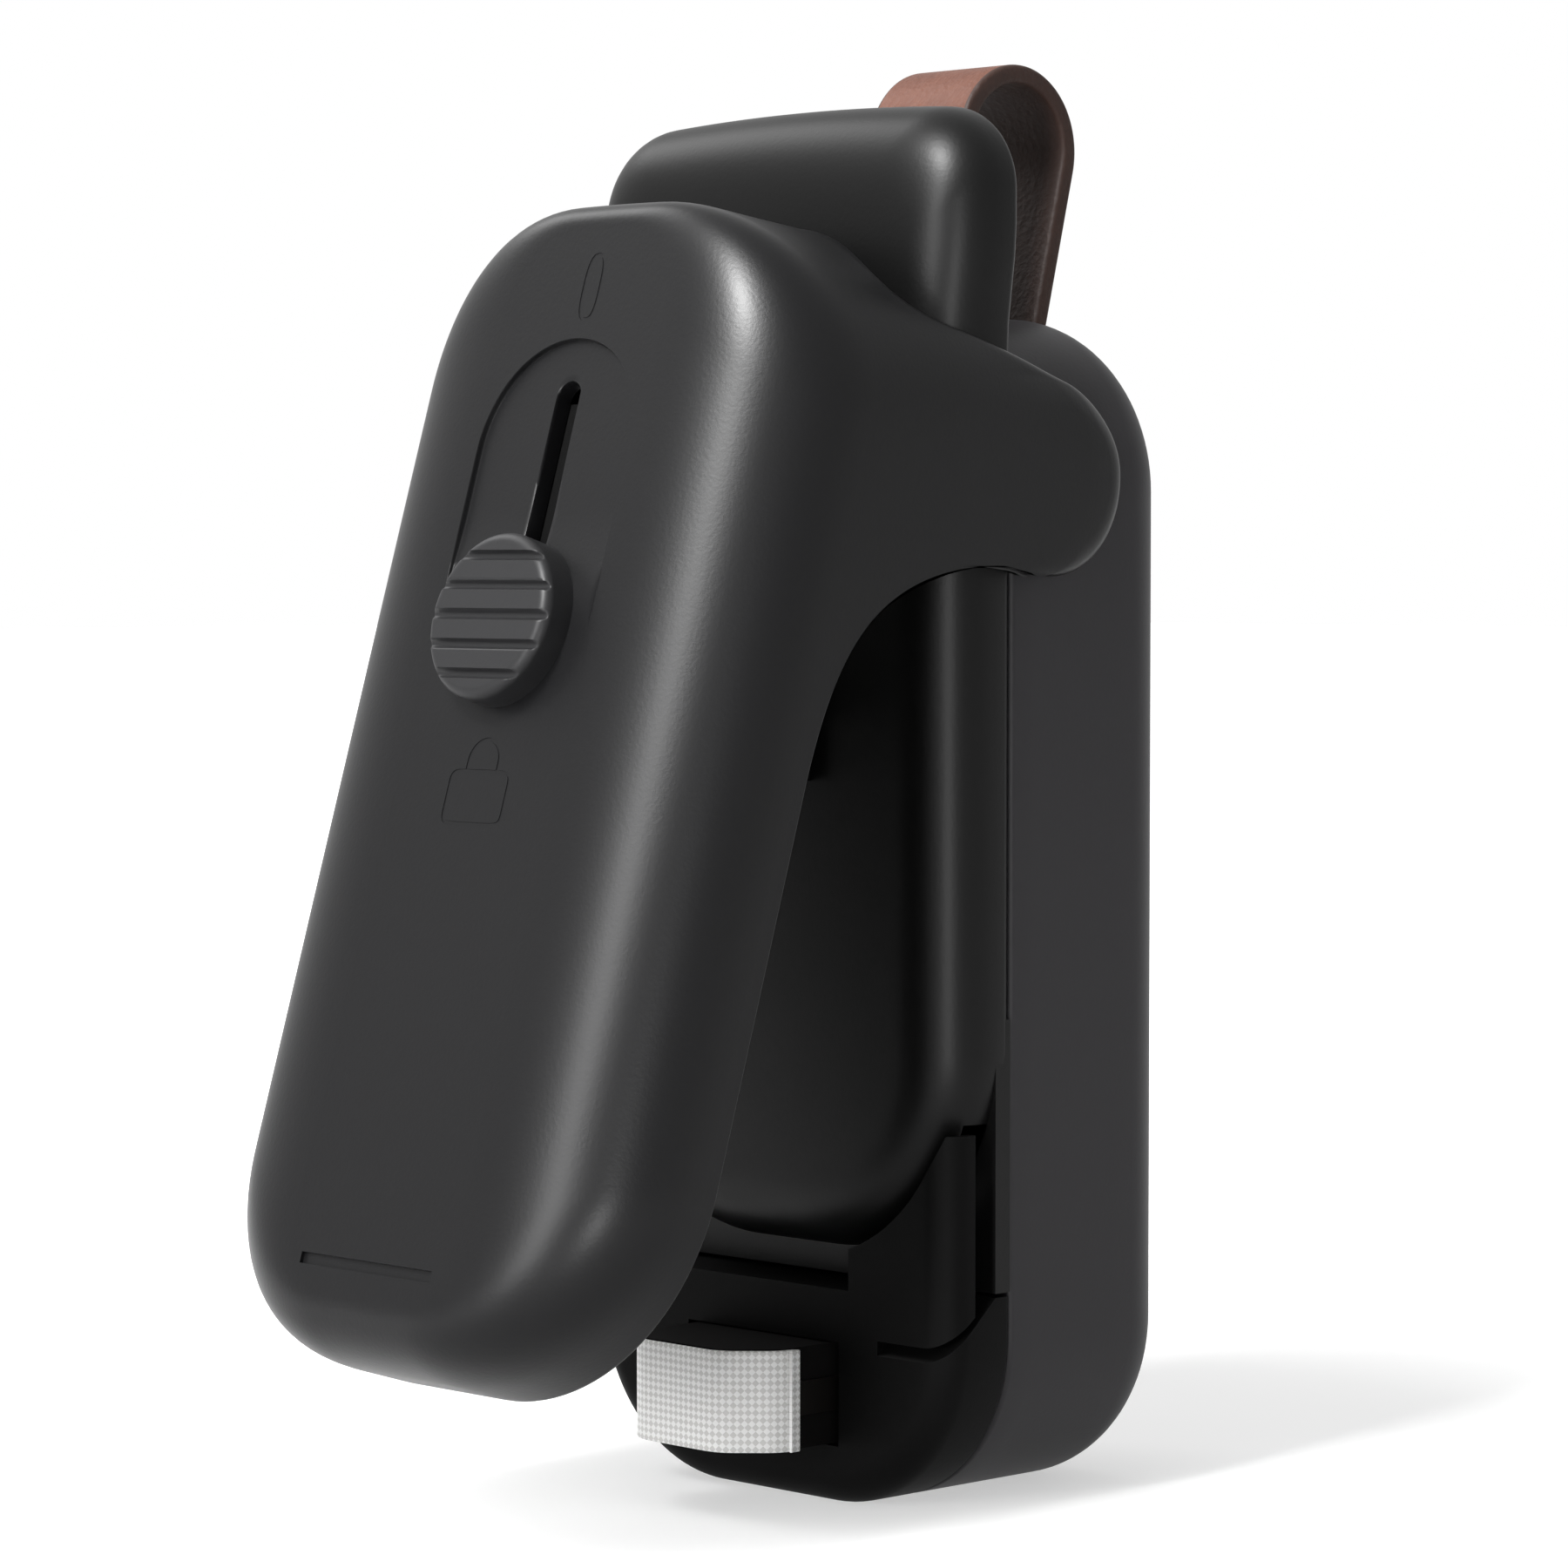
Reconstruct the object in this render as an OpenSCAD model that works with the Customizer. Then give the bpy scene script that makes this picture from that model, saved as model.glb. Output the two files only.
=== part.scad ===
// Handheld bag sealer: a two-shell housing with a raised cap, a press lever that swings on ears,
// a lock slider, a heated jaw under glass cloth, a film cutter, two AA cells and a leather loop.
// Millimetres. X across the width, Y to the back, Z up along the length.
// The origin is on the bottom face of the rear housing, just behind the seam.

/* [Housing] */
// Width of the housing across its two sides
body_w = 38; // [36:0.5:46]
// Height of the rear housing
rear_h = 87; // [84:0.5:96]
// Height of the front housing, up to the top of the raised cap
cap_h = 102; // [98:0.5:112]
// Depth of the rear housing behind the origin
rear_d = 17; // [17:0.25:21]
// How far the front housing stands in front of the origin
front_d = 7.5; // [7:0.25:10]
// Distance of the seam in front of the origin
seam_d = 1; // [0.6:0.1:1.4]
// Wall thickness of both housings
wall = 1.8; // [1.4:0.1:2.2]
// Corner radius of the housing's outline, at its foot and at the rear top
corner_r = 13; // [11:0.5:15]
// Corner radius at the top of the cap
cap_r = 8; // [6:0.5:11]
// Radius of the cap's gently arched top edge
cap_arc = 80; // [50:1:150]
// Rounding of the rear housing's back edges
back_fillet = 5; // [4:0.25:6]
// Rounding of the front housing's front edges
front_fillet = 5; // [3.5:0.25:5.5]
// Corner radius at the foot of the front housing
front_corner_r = 15; // [13:0.5:17]
// Height of the front housing's lower end
front_z = 18.5; // [18:0.25:20]
// Height of the heater block at the foot
block_h = 16; // [14.5:0.25:16.5]
// Thickness of the flat rim at the back of the front housing
rim_t = 1.5; // [1.2:0.1:2]

/* [Lever] */
// Height of the pivot below the top of the rear housing
pivot_drop = 11; // [10.5:0.25:12]
// Distance of the pivot behind the origin
pivot_y = 4.4; // [4:0.1:5]
// Distance from the pivot to the lever's front face
lever_front = 31.3; // [30:0.1:33]
// Distance from the pivot to the edge of the lever's skirt
lever_skirt = 19.9; // [18.5:0.1:21]
// Height of the lever's top above the pivot
lever_top = 11.7; // [10.5:0.1:13]
// Gap left under the lever's foot, measured with the lever parallel to the housing
foot_gap = 1.7; // [1.5:0.1:3]
// Wall thickness of the lever
lever_wall = 1.6; // [1.4:0.1:2]
// Gap between the lever's ears and the housing
ear_gap = 0.35; // [0.3:0.05:0.6]
// Rounding of the lever's front edges
lever_fillet = 8.5; // [7:0.5:9]
// Corner radius at the foot of the lever
lever_foot_r = 14; // [11:0.5:16]
// Corner radius at the top of the lever
lever_top_r = 7.5; // [6:0.5:8]
// Radius of the lever's gently arched top edge
lever_arc = 70; // [55:1:120]
// Radius of the round ear end
ear_r = 7.2; // [7:0.1:8]
// Height of the ear's straight upper edge above the pivot
ear_up = 5.5; // [5:0.1:6]
// Radius of the journal on each ear
journal_r = 2.5; // [2.3:0.05:2.8]
// Radius of the steel pivot shaft
shaft_r = 1.5; // [1.2:0.05:1.6]
// Radial running clearance of the journals
run_gap = 0.05; // [0.03:0.01:0.08]
// Tilt of the open lever away from the housing, in degrees
open_tilt = 17; // [15:0.5:18]
// Tilt of the pressed lever towards the housing, in degrees
closed_tilt = 4; // [3.5:0.25:4.5]

/* [Lock slider] */
// Diameter of the round slider knob
knob_d = 12.2; // [11:0.2:13]
// How far the knob stands out of its panel
knob_h = 2.7; // [2.2:0.1:3.6]
// Number of finger grooves in the knob
knob_grooves = 5; // [3:1:7]
// Depth of the knob's panel in the lever's face
panel_depth = 0.5; // [0.3:0.1:0.7]
// Width left round the knob in its panel
panel_margin = 1.9; // [1:0.1:2.2]
// Width of the knob's slot
slot_w = 2.4; // [2.2:0.1:3.2]
// Distance of the resting knob's middle below the pivot
knob_drop = 21.6; // [21:0.2:23]
// Travel of the slider from open to locked
lock_travel = 13; // [12:0.25:14]
// Thickness of the slide plate
slide_t = 1.4; // [1.2:0.1:1.5]
// Width of the slide plate
slide_w = 12; // [10:0.5:14]
// Thickness of the hook and of the catch it goes under
hook_t = 1.5; // [1.2:0.1:1.8]
// Overlap of the hook's lip with the catch
hook_lip = 2; // [1.5:0.1:2.4]
// Width of the hook
hook_w = 6; // [5:0.25:7]
// Free space between locked hook and catch
catch_gap = 0.4; // [0.3:0.05:0.6]

/* [Heated jaw] */
// Half width of the jaw's flat front
jaw_flat = 4.3; // [4:0.1:5]
// Half width of the jaw
jaw_half = 7.7; // [7:0.1:8]
// Distance of the jaw's front in front of the origin
jaw_front = 16.2; // [15.6:0.1:16.4]
// Depth of the jaw's slanted flanks
jaw_flank = 3.4; // [3:0.1:3.8]
// Height of the jaw's lower edge
jaw_z = 4.6; // [4:0.1:5]
// Height of the jaw from its lower to its upper edge
jaw_h = 7.4; // [6.5:0.1:7.8]
// Thickness of the glass cloth
cloth_t = 0.3; // [0.2:0.05:0.4]
// Width of the heating ribbon
ribbon_w = 2.5; // [2:0.1:3]
// Thickness of the heating ribbon
ribbon_t = 0.25; // [0.15:0.05:0.3]
// Thickness of the silicone pad on the lever
pad_t = 1.5; // [1.2:0.1:1.8]
// Gap between the pad and the jaw with the lever pressed, where the film lies
film_gap = 0.3; // [0.2:0.05:0.5]

/* [Power] */
// Diameter of an AA cell
cell_d = 14.5; // [14:0.1:14.5]
// Length of a battery spring with the cell in place
spring_l = 4; // [3.6:0.1:4.4]
// Thickness of the circuit board
board_t = 1.2; // [1:0.1:1.4]
// Travel of the switch plunger
plunger_travel = 0.8; // [0.6:0.05:0.9]
// Radius of the switch plunger
plunger_r = 2; // [1.6:0.1:2.4]

/* [Leather loop] */
// Width of the leather strap
strap_w = 10; // [8:0.25:11]
// Thickness of the leather strap
strap_t = 1.4; // [1.1:0.1:1.7]
// Radius of the loop's round top
loop_r = 6.3; // [5.5:0.1:7]
// Height of the loop's round top above the bar
loop_rise = 15.2; // [13:0.2:17]
// Diameter of the bar that holds the loop
bar_d = 2.5; // [2:0.1:3]

/* [Hidden] */
$fn = 48;
arc_steps = 6;
fillet_steps = 4;
slice = 0.01;
over = 1;
fit = 0.12;
least_r = 0.6;
half_w = body_w / 2;
seam_y = -seam_d;
face_y = -front_d;
back_y = rear_d;
inner_half = half_w - wall;
inner_back = back_y - wall;
pivot_z = rear_h - pivot_drop;

// lever sizes, in the lever's own frame: origin on the pivot, -y to its face, -z to its foot
lever_half = half_w + ear_gap + lever_wall;
lever_in = half_w + ear_gap;
lever_foot = pivot_z - foot_gap;
lever_floor = -lever_front + lever_wall + 0.2;
ear_cy = -2.1;
sweep_drop = 28;
sweep_turn = 13;
sweep_y = 15.3;
ear_cz = ear_up - ear_r;
journal_in = half_w - wall - 2.6;
shaft_end = half_w - 0.4;
liner_gap = slide_t + 0.4;
liner_y = lever_floor + liner_gap;
liner_t = 1.4;
liner_up = 6;
liner_down = lever_foot - 15;
liner_half = lever_in - 4.5;
liner_screw_x = liner_half - 3;
liner_screw_z = [-9, -(lever_foot - 20)];
post_r = 2.2;
pilot_r = 0.9;
pilot_gap = 0.05;
rail_t = 1.2;
rail_gap = 0.25;

// lock slider, in the lever's frame
panel_r = knob_d / 2 + panel_margin;
panel_y = -lever_front + panel_depth;
stem_w = slot_w - 0.5;
stem_h = 4;
slot_lo = -knob_drop - stem_h / 2 - 0.3;
slot_spare = 3;
slot_hi = -knob_drop + lock_travel + stem_h / 2 + slot_spare;
slide_y = lever_floor + 0.2;
slide_back = slide_y + slide_t;
slide_down = 13.4;
slide_up = 6.4;
slide_lo = -knob_drop - slide_down;
slide_hi = -knob_drop + slide_up;
hook_top = slide_lo + hook_t;
hook_reach = 9.7;
hook_end = slide_back + hook_reach;
knob_back = panel_y - 0.3;
lock_screw_r = 0.8;
liner_slot_half = hook_w / 2 + 0.5;
catch_lug = 2;
catch_base_t = 1;
catch_base_half = 5;

// jaw, from the core outwards: core, ribbon, cloth
core_inset = cloth_t + ribbon_t + 0.1;
cloth_end = 0.6;
jaw_mid = jaw_z + jaw_h / 2;
window_half = jaw_half + 0.3;
flange_half = jaw_half + 1.5;
flange_lip = 1.4;
flange_t = 1.5;
terminal_l = 2;

// housing screws, and the lower pair's [x, z]
screw_r = 1;
screw_gap = 0.15;
screw_head_r = 2;
screw_head_t = 1.6;
screw_post_r = 2.4;
screw_bite = 3;
head_sink = 1;
foot_screw = [half_w - 7, 9.5];

// power
cell_r = cell_d / 2;
cell_x = cell_r + 0.3;
cell_y = inner_back - 0.3 - cell_r;
bay_drop = 5.5;
cell_top = pivot_z - bay_drop;
bay_gap = 4.1;
bay_lo = foot_screw[1] + screw_post_r + bay_gap;
cell_len = cell_top - spring_l - bay_lo;
button_h = 1;
plate_t = 0.5;
plate_half = 5;
bulkhead_t = 1.2;
door_half = cell_x + cell_r + 0.4;
door_lo = bay_lo - 1;
door_hi = cell_top + 2.5;
grip_n = 5;
grip_half = 5;
grip_deep = 0.5;
grip_pitch = 2;
board_back = seam_y - 0.4;
board_front = board_back - board_t;
board_edge = 6;
board_half = inner_half - 3.2;
board_lo = front_z + 15;
cavity_lo = board_lo - 2.5;
board_hi = pivot_z - 10;
chip_u = board_half / 14;
// each chip as [x, z, width, height, thickness], and the capacitor as [x, z, radius, height]
chips = chip_u * [[-4, 14, 6, 5, 1.4], [5, 10, 6, 6, 1.8], [-10, 22, 3, 2, 0.8]];
capacitor = chip_u * [4, 23, 2, 2];
plunger_x = board_edge - board_half;
plunger_z = board_lo + 3;
post_x = board_half - 2.5;
board_posts = [[post_x, board_lo + 3], [-post_x, board_hi - 3], [post_x, board_hi - 3]];
front_inner = face_y + wall;
plunger_flange_t = 0.4;
plunger_rest = front_inner + 0.1;
switch_front = plunger_rest + plunger_flange_t + plunger_travel + 0.3;
plunger_out = 1.5;
switch_half = 3;
wire_r = 0.5;
wire_x = jaw_half + 0.4;
wire_y = (seam_y + cell_y - cell_r) / 2;

// leather loop
bar_y = rear_d - 2.8;
bar_z = rear_h - 3;
bar_gap = 0.1;
loop_in = bar_d / 2 + bar_gap;
loop_foot = loop_in + strap_t;
loop_y = bar_y + 0.4;
loop_z = bar_z + loop_rise;
notch_half = strap_w / 2 + 0.6;
notch_wall = 2.4;
notch_front = bar_y - loop_foot - 2.4;
notch_lo = bar_z - loop_foot - 0.6;
bar_half = notch_half + notch_wall - 0.4;

// the upper pair's [x, z], beside the strap's notch
top_screw = [notch_half + 3.8, rear_h - 5.8];

// return spring on the shaft
wire_d = 0.8;
coil_r = shaft_r + 1.1;
coil_turns = 4;
coil_x0 = -6;
coil_x1 = -1;
rear_leg = 7.5;
front_leg = 23;
spring_slot = 0.9;

// film cutter on the right side
cutter_in = 8;
cutter_front = seam_y - rim_t - 2.1;
cutter_back = seam_y - rim_t;
cutter_h = 10;
cutter_top = front_z + cutter_h;
blade_t = 0.5;
blade_x = 13;
blade_seat = 1;
slit_h = 1.2;
slit_in = cutter_in + 4;
slit_front = block_h - 5.3;
guard_in = cutter_in + 1;
guard_gap = 0.3;

plastic = "#2b2b2c";
steel = "#b9bcc0";
brass = "#c9a24b";

// points of an arc in the plane
function arc(cx, cz, r, a0, a1) =
    [for (i = [0 : arc_steps]) let (a = a0 + (a1 - a0) * i / arc_steps) [cx + r * cos(a), cz + r * sin(a)]];

// rounded outline, z0 to z1, whose top edge is an arc of radius rc that runs into the corners, or is flat
function outline(w, z0, z1, rt, rb, rc = 0) =
    let (h = w / 2,
        zc = rc > 0 ? z1 - rc + sqrt(pow(rc - rt, 2) - pow(h - rt, 2)) : z1 - rt,
        turn = rc > 0 ? acos((h - rt) / (rc - rt)) : 90)
    concat(
        arc(rb - h, z0 + rb, rb, 180, 270),
        arc(h - rb, z0 + rb, rb, 270, 360),
        arc(h - rt, zc, rt, 0, turn),
        rc > 0 ? [for (i = [1 : 5]) let (a = turn + (180 - 2 * turn) * i / 6)
            [rc * cos(a), z1 - rc + rc * sin(a)]] : [],
        arc(rt - h, zc, rt, 180 - turn, 180)
    );

// [depth, inset] of the slices that make a rounded edge at depth y
function edge_slices(y, f, dir) =
    f <= 0 ? [[y, 0]] :
    [for (i = [0 : fillet_steps]) let (a = 90 * i / fillet_steps)
        [y + dir * f * (1 - cos(a)), f * (1 - sin(a))]];

// cubic curve through four control points
function bezier(p, n) =
    [for (i = [0 : n]) let (t = i / n, s = 1 - t)
        p[0] * s * s * s + p[1] * 3 * s * s * t + p[2] * 3 * s * t * t + p[3] * t * t * t];

// a [y, z] point of the housing seen in the lever's frame with the lever pressed
function in_lever(p) =
    let (y = p[0] - pivot_y, z = p[1] - pivot_z)
    [y * cos(closed_tilt) + z * sin(closed_tilt), z * cos(closed_tilt) - y * sin(closed_tilt)];

module box(p, q) {
    translate(p) cube(q - p);
}

module rod_x(r, x0, x1, y, z) {
    translate([x0, y, z]) rotate([0, 90, 0]) cylinder(r = r, h = x1 - x0);
}

module rod_y(r, y0, y1, x, z) {
    translate([x, y1, z]) rotate([90, 0, 0]) cylinder(r = r, h = y1 - y0);
}

// polygon of [y, z] points, extruded from x0 to x1
module across(points, x0, x1) {
    translate([x0, 0, 0]) rotate([90, 0, 90]) linear_extrude(x1 - x0) polygon(points);
}

// polygon of [x, z] points, extruded from y0 to y1
module deep(points, y0, y1) {
    translate([0, y1, 0]) rotate([90, 0, 0]) linear_extrude(y1 - y0) polygon(points);
}

// both sides of the middle plane
module pair() {
    children();
    mirror([1, 0, 0]) children();
}

// closed skin over a row of rings, each with the same number of points
module skin(rings) {
    n = len(rings[0]);
    last = len(rings) - 1;
    faces = concat(
        [[for (k = [n - 1 : -1 : 0]) k]],
        [for (i = [0 : last - 1], k = [0 : n - 1]) [i * n + k, i * n + (k + 1) % n, (i + 1) * n + k]],
        [for (i = [0 : last - 1], k = [0 : n - 1])
            [i * n + (k + 1) % n, (i + 1) * n + (k + 1) % n, (i + 1) * n + k]],
        [[for (k = [0 : n - 1]) last * n + k]]
    );
    polyhedron(points = [for (r = rings) each r], faces = faces, convexity = 8);
}

// rounded body between two depths, with rounded front and back edges
module pillow(w, z0, z1, rt, rb, y0, y1, f0 = 0, f1 = 0, rc = 0) {
    back = edge_slices(y1, f1, -1);
    slices = concat(edge_slices(y0, f0, 1), [for (i = [len(back) - 1 : -1 : 0]) back[i]]);
    skin([for (s = slices)
        [for (p = outline(w - 2 * s[1], z0 + s[1], z1 - s[1],
            max(rt - s[1], least_r), max(rb - s[1], least_r), max(rc - s[1], 0))) [p[0], s[0], p[1]]]]);
}

// places a piece of the lever, built round its pivot, at the open tilt
module on_lever() {
    translate([0, pivot_y, pivot_z]) rotate([-open_tilt, 0, 0]) children();
}

// tube along a path: rings of [point, normal], all with one side direction
function ring(p, n, side, r, sides) =
    [for (k = [0 : sides - 1]) p + r * (cos(360 * k / sides) * n + sin(360 * k / sides) * side)];

module tube(path, side, r, sides = 6) {
    skin([for (q = path) ring(q[0], q[1], side, r, sides)]);
}

// least gap of a wound wire to itself, measured between ring centres at least most of a curl apart
function least_gap(path, curl, d) =
    min([for (i = [0 : len(path) - 1], j = [0 : len(path) - 1])
        if (j - i >= curl - 2) norm(path[j][0] - path[i][0])]) - d;

module rear_outer() {
    pillow(body_w, 0, rear_h, corner_r, corner_r, seam_y, back_y, 0, back_fillet);
}

module strap_notch(grow) {
    box([-notch_half - grow, notch_front - min(grow, bulkhead_t), notch_lo - min(grow, bulkhead_t)],
        [notch_half + grow, back_y + over, rear_h + over]);
}

module rear_housing() {
    color(plastic) difference() {
        union() {
            difference() {
                rear_outer();
                pillow(body_w - 2 * wall, wall, rear_h - wall, corner_r - wall, corner_r - wall,
                    seam_y - over, inner_back, 0, back_fillet - wall);
            }
            intersection() {
                rear_outer();
                union() {
                    strap_notch(notch_wall);
                    pair() rod_x(journal_r + 1.8, journal_in - 0.4, half_w, pivot_y, pivot_z);
                    pair() rod_y(screw_post_r, seam_y, back_y, foot_screw[0], foot_screw[1]);
                    pair() rod_y(screw_post_r, seam_y, back_y, top_screw[0], top_screw[1]);
                    for (z = [bay_lo - plate_t - bulkhead_t, cell_top + plate_t])
                        box([-half_w, cell_y - cell_r + 0.8, z], [half_w, inner_back, z + bulkhead_t]);
                }
            }
        }
        strap_notch(0);
        rod_x(bar_d / 2 + 0.03, -bar_half, bar_half, bar_y, bar_z);
        rod_x(journal_r + run_gap, -half_w - over, half_w + over, pivot_y, pivot_z);
        box([-door_half - fit, inner_back - over, door_lo - fit],
            [door_half + fit, back_y + over, door_hi + fit]);
        for (s = [foot_screw, top_screw]) {
            pair() rod_y(screw_r + screw_gap, seam_y - over, back_y + over, s[0], s[1]);
            pair() rod_y(screw_head_r + screw_gap, back_y - screw_head_t - head_sink, back_y + over, s[0], s[1]);
        }
    }
}

module front_raised(y1) {
    pillow(body_w, front_z, cap_h, cap_r, front_corner_r, face_y, y1, front_fillet, 0, cap_arc);
}

module front_housing() {
    color(plastic) difference() {
        union() {
            difference() {
                union() {
                    front_raised(seam_y);
                    box([-half_w, cutter_back, block_h + guard_gap],
                        [half_w, seam_y, front_z + 2 * front_corner_r]);
                }
                intersection() {
                    pillow(body_w - 2 * wall, cavity_lo, cap_h - wall, cap_r - wall, wall,
                        front_inner, seam_y + over, front_fillet - wall, 0, cap_arc - wall);
                    union() {
                        box([-half_w, face_y, 0], [half_w, seam_y + over, rear_h - 2 * wall]);
                        box([-half_w, face_y, 0], [half_w, seam_y - wall, cap_h]);
                    }
                }
            }
            pair() rod_y(screw_post_r, front_inner - slice, seam_y, top_screw[0], top_screw[1]);
            for (p = board_posts) rod_y(post_r, front_inner - slice, board_front, p[0], p[1]);
        }
        pair() rod_y(screw_r + 0.02, seam_y - screw_bite - 0.5, seam_y + over, top_screw[0], top_screw[1]);
        rod_y(plunger_r + run_gap, face_y - over, front_inner + over, plunger_x, plunger_z);
        box([coil_x1 - spring_slot, face_y - over, pivot_z + 0.6],
            [coil_x1 + spring_slot, front_inner + over, pivot_z + 8]);
        box([cutter_in, cutter_front, 0], [half_w + over, cutter_back, cutter_top]);
        box([blade_x - blade_t / 2 - 0.05, cutter_front - blade_seat, front_z],
            [blade_x + blade_t / 2 + 0.05, cutter_back + blade_seat, cutter_top + blade_seat + 0.05]);
    }
}

// thin steel blade across the cutter slot, with a slanted edge below
module cutter_blade() {
    color(steel) across([
        [cutter_front - blade_seat + 0.05, cutter_top + blade_seat],
        [cutter_front - blade_seat + 0.05, cutter_top - 5],
        [cutter_back + blade_seat - 0.05, cutter_top - 2.5],
        [cutter_back + blade_seat - 0.05, cutter_top + blade_seat]
    ], blade_x - blade_t / 2, blade_x + blade_t / 2);
}

// guard in front of the cutter slot: a curved wall on the block, up to the foot of the front housing
module cutter_guard() {
    difference() {
        intersection() {
            block_outer();
            box([guard_in, face_y, block_h - wall], [half_w, cutter_front, cutter_top - 2 * guard_gap]);
        }
        deep(outline(body_w + 2 * guard_gap, front_z - guard_gap, cap_h, cap_r, front_corner_r + guard_gap),
            face_y - over, seam_y + over);
    }
}

module block_outer() {
    pillow(body_w, 0, 2 * corner_r + block_h, corner_r, corner_r, face_y, seam_y, front_fillet, 0);
}

// foot of the front: carries the jaw and, on the right, a slanted slit that leads film up to the cutter
module heater_block() {
    color(plastic) difference() {
        union() {
            difference() {
                union() {
                    intersection() {
                        block_outer();
                        box([-half_w, face_y, 0], [half_w, seam_y, block_h]);
                    }
                    cutter_guard();
                }
                intersection() {
                    pillow(body_w - 2 * wall, wall, 2 * corner_r + block_h, corner_r - wall, corner_r - wall,
                        front_inner, seam_y + over, front_fillet - wall, 0);
                    box([-half_w, face_y, 0], [half_w, seam_y + over, block_h - wall]);
                }
            }
            pair() rod_y(screw_post_r, front_inner - slice, seam_y, foot_screw[0], foot_screw[1]);
            intersection() {
                block_outer();
                across([[face_y, slit_front - wall], [cutter_back, block_h - wall], [cutter_back, block_h],
                    [face_y, slit_front + wall]], slit_in - wall, half_w);
            }
        }
        across([[face_y - over, slit_front], [cutter_back, block_h - slice], [cutter_back, block_h + over],
            [cutter_front, block_h + over], [cutter_front, block_h - slit_h],
            [face_y - over, slit_front + slit_h]], slit_in, half_w + over);
        pair() rod_y(screw_r + 0.02, seam_y - screw_bite - 0.5, seam_y + over, foot_screw[0], foot_screw[1]);
        box([-window_half, face_y - over, jaw_z - fit],
            [window_half, front_inner + slice, jaw_z + jaw_h + fit]);
        box([-flange_half - fit, front_inner, jaw_z - flange_lip - fit],
            [flange_half + fit, seam_y + over, jaw_z + jaw_h + flange_lip + fit]);
    }
}

// outline of the jaw in plan, [x, y], drawn in by d on its front and sides
function jaw_plan(d, back) = [
    [jaw_half - d, back], [jaw_half - d, jaw_flank - jaw_front + d], [jaw_flat - d / 2, d - jaw_front],
    [d / 2 - jaw_flat, d - jaw_front], [d - jaw_half, jaw_flank - jaw_front + d], [d - jaw_half, back]
];

// band of thickness t round the jaw's front and sides, ending at depth back
module jaw_band(d, t, back, z0, z1) {
    translate([0, 0, z0]) linear_extrude(z1 - z0) difference() {
        polygon(jaw_plan(d, back));
        polygon(jaw_plan(d + t, back + over));
    }
}

module heater_core() {
    color("#2c2a28") difference() {
        union() {
            translate([0, 0, jaw_z]) linear_extrude(jaw_h)
                polygon(jaw_plan(core_inset, front_inner + flange_t));
            box([-flange_half, front_inner, jaw_z - flange_lip],
                [flange_half, front_inner + flange_t, jaw_z + jaw_h + flange_lip]);
        }
        pair() box([jaw_half - core_inset, front_inner - over, jaw_mid - ribbon_w / 2 - 0.2],
            [flange_half + over, front_inner + flange_t + over, jaw_mid + ribbon_w / 2 + 0.2]);
    }
}

module heating_ribbon() {
    color("#8d8f94") jaw_band(core_inset - ribbon_t, ribbon_t, front_inner + flange_t,
        jaw_mid - ribbon_w / 2, jaw_mid + ribbon_w / 2);
}

module glass_cloth() {
    color("#f2f0ea") jaw_band(0, cloth_t, jaw_flank - jaw_front + cloth_end, jaw_z, jaw_z + jaw_h);
}

module heater_terminals() {
    y0 = front_inner + flange_t;
    color(brass) pair() box([jaw_half - core_inset, y0, jaw_mid - ribbon_w / 2],
        [jaw_half - core_inset + 1.2, y0 + terminal_l, jaw_mid + ribbon_w / 2]);
}

// two wires from the jaw's terminals, up behind the board, to its lower edge
wire_points = [
    [wire_y, jaw_mid + ribbon_w / 2 + 0.1], [wire_y, jaw_mid + 4],
    [wire_y, board_lo - 6], [wire_y, board_lo - 2],
    [board_back + wire_r + 0.1, board_lo + 1], [board_back + wire_r + 0.1, board_lo + 5]
];
wire_path = [for (i = [0 : len(wire_points) - 1])
    let (a = wire_points[max(i - 1, 0)], b = wire_points[min(i + 1, len(wire_points) - 1)],
        t = (b - a) / norm(b - a))
    [[0, wire_points[i][0], wire_points[i][1]], [0, t[1], -t[0]]]];

module heater_wires() {
    color("#b03028") for (x = [-wire_x, wire_x])
        translate([x, 0, 0]) tube(wire_path, [1, 0, 0], wire_r, 8);
}

// AA cell of length cell_len standing on z0, button up or down
module cell(x, z0, up) {
    translate([x, cell_y, up ? z0 : z0 + cell_len]) mirror([0, 0, up ? 0 : 1]) {
        cylinder(r = cell_r, h = cell_len - button_h);
        translate([0, 0, cell_len - button_h]) cylinder(r = cell_r * 0.37, h = button_h);
    }
}

module battery_cell_left() {
    color("#3f6f52") cell(-cell_x, bay_lo + spring_l, true);
}

module battery_cell_right() {
    color("#3f6f52") cell(cell_x, bay_lo, false);
}

// battery spring: a plain helix with its axis along z
battery_wire = 0.6;
battery_coil_r = 2.8;
battery_turns = 3;
function battery_path(x, z0) =
    [for (i = [0 : 8 * battery_turns]) let (a = 45 * i, n = [cos(a), sin(a), 0])
        [[x, cell_y, z0 + battery_wire / 2 + 0.02
            + (spring_l - battery_wire - 0.04) * i / (8 * battery_turns)]
            + battery_coil_r * n, n]];

module battery_springs() {
    color(steel) {
        tube(battery_path(-cell_x, bay_lo), [0, 0, 1], battery_wire / 2);
        tube(battery_path(cell_x, bay_lo + cell_len), [0, 0, 1], battery_wire / 2);
    }
}

module contact(x0, x1, z0) {
    box([x0, cell_y - plate_half, z0], [x1, cell_y + plate_half, z0 + plate_t]);
}

module bridge_plate() {
    color(steel) contact(-cell_x - plate_half, cell_x + plate_half, bay_lo - plate_t);
}

module contact_plates() {
    color(steel) for (x = [-cell_x, cell_x]) contact(x - plate_half, x + plate_half, cell_top);
}

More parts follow.
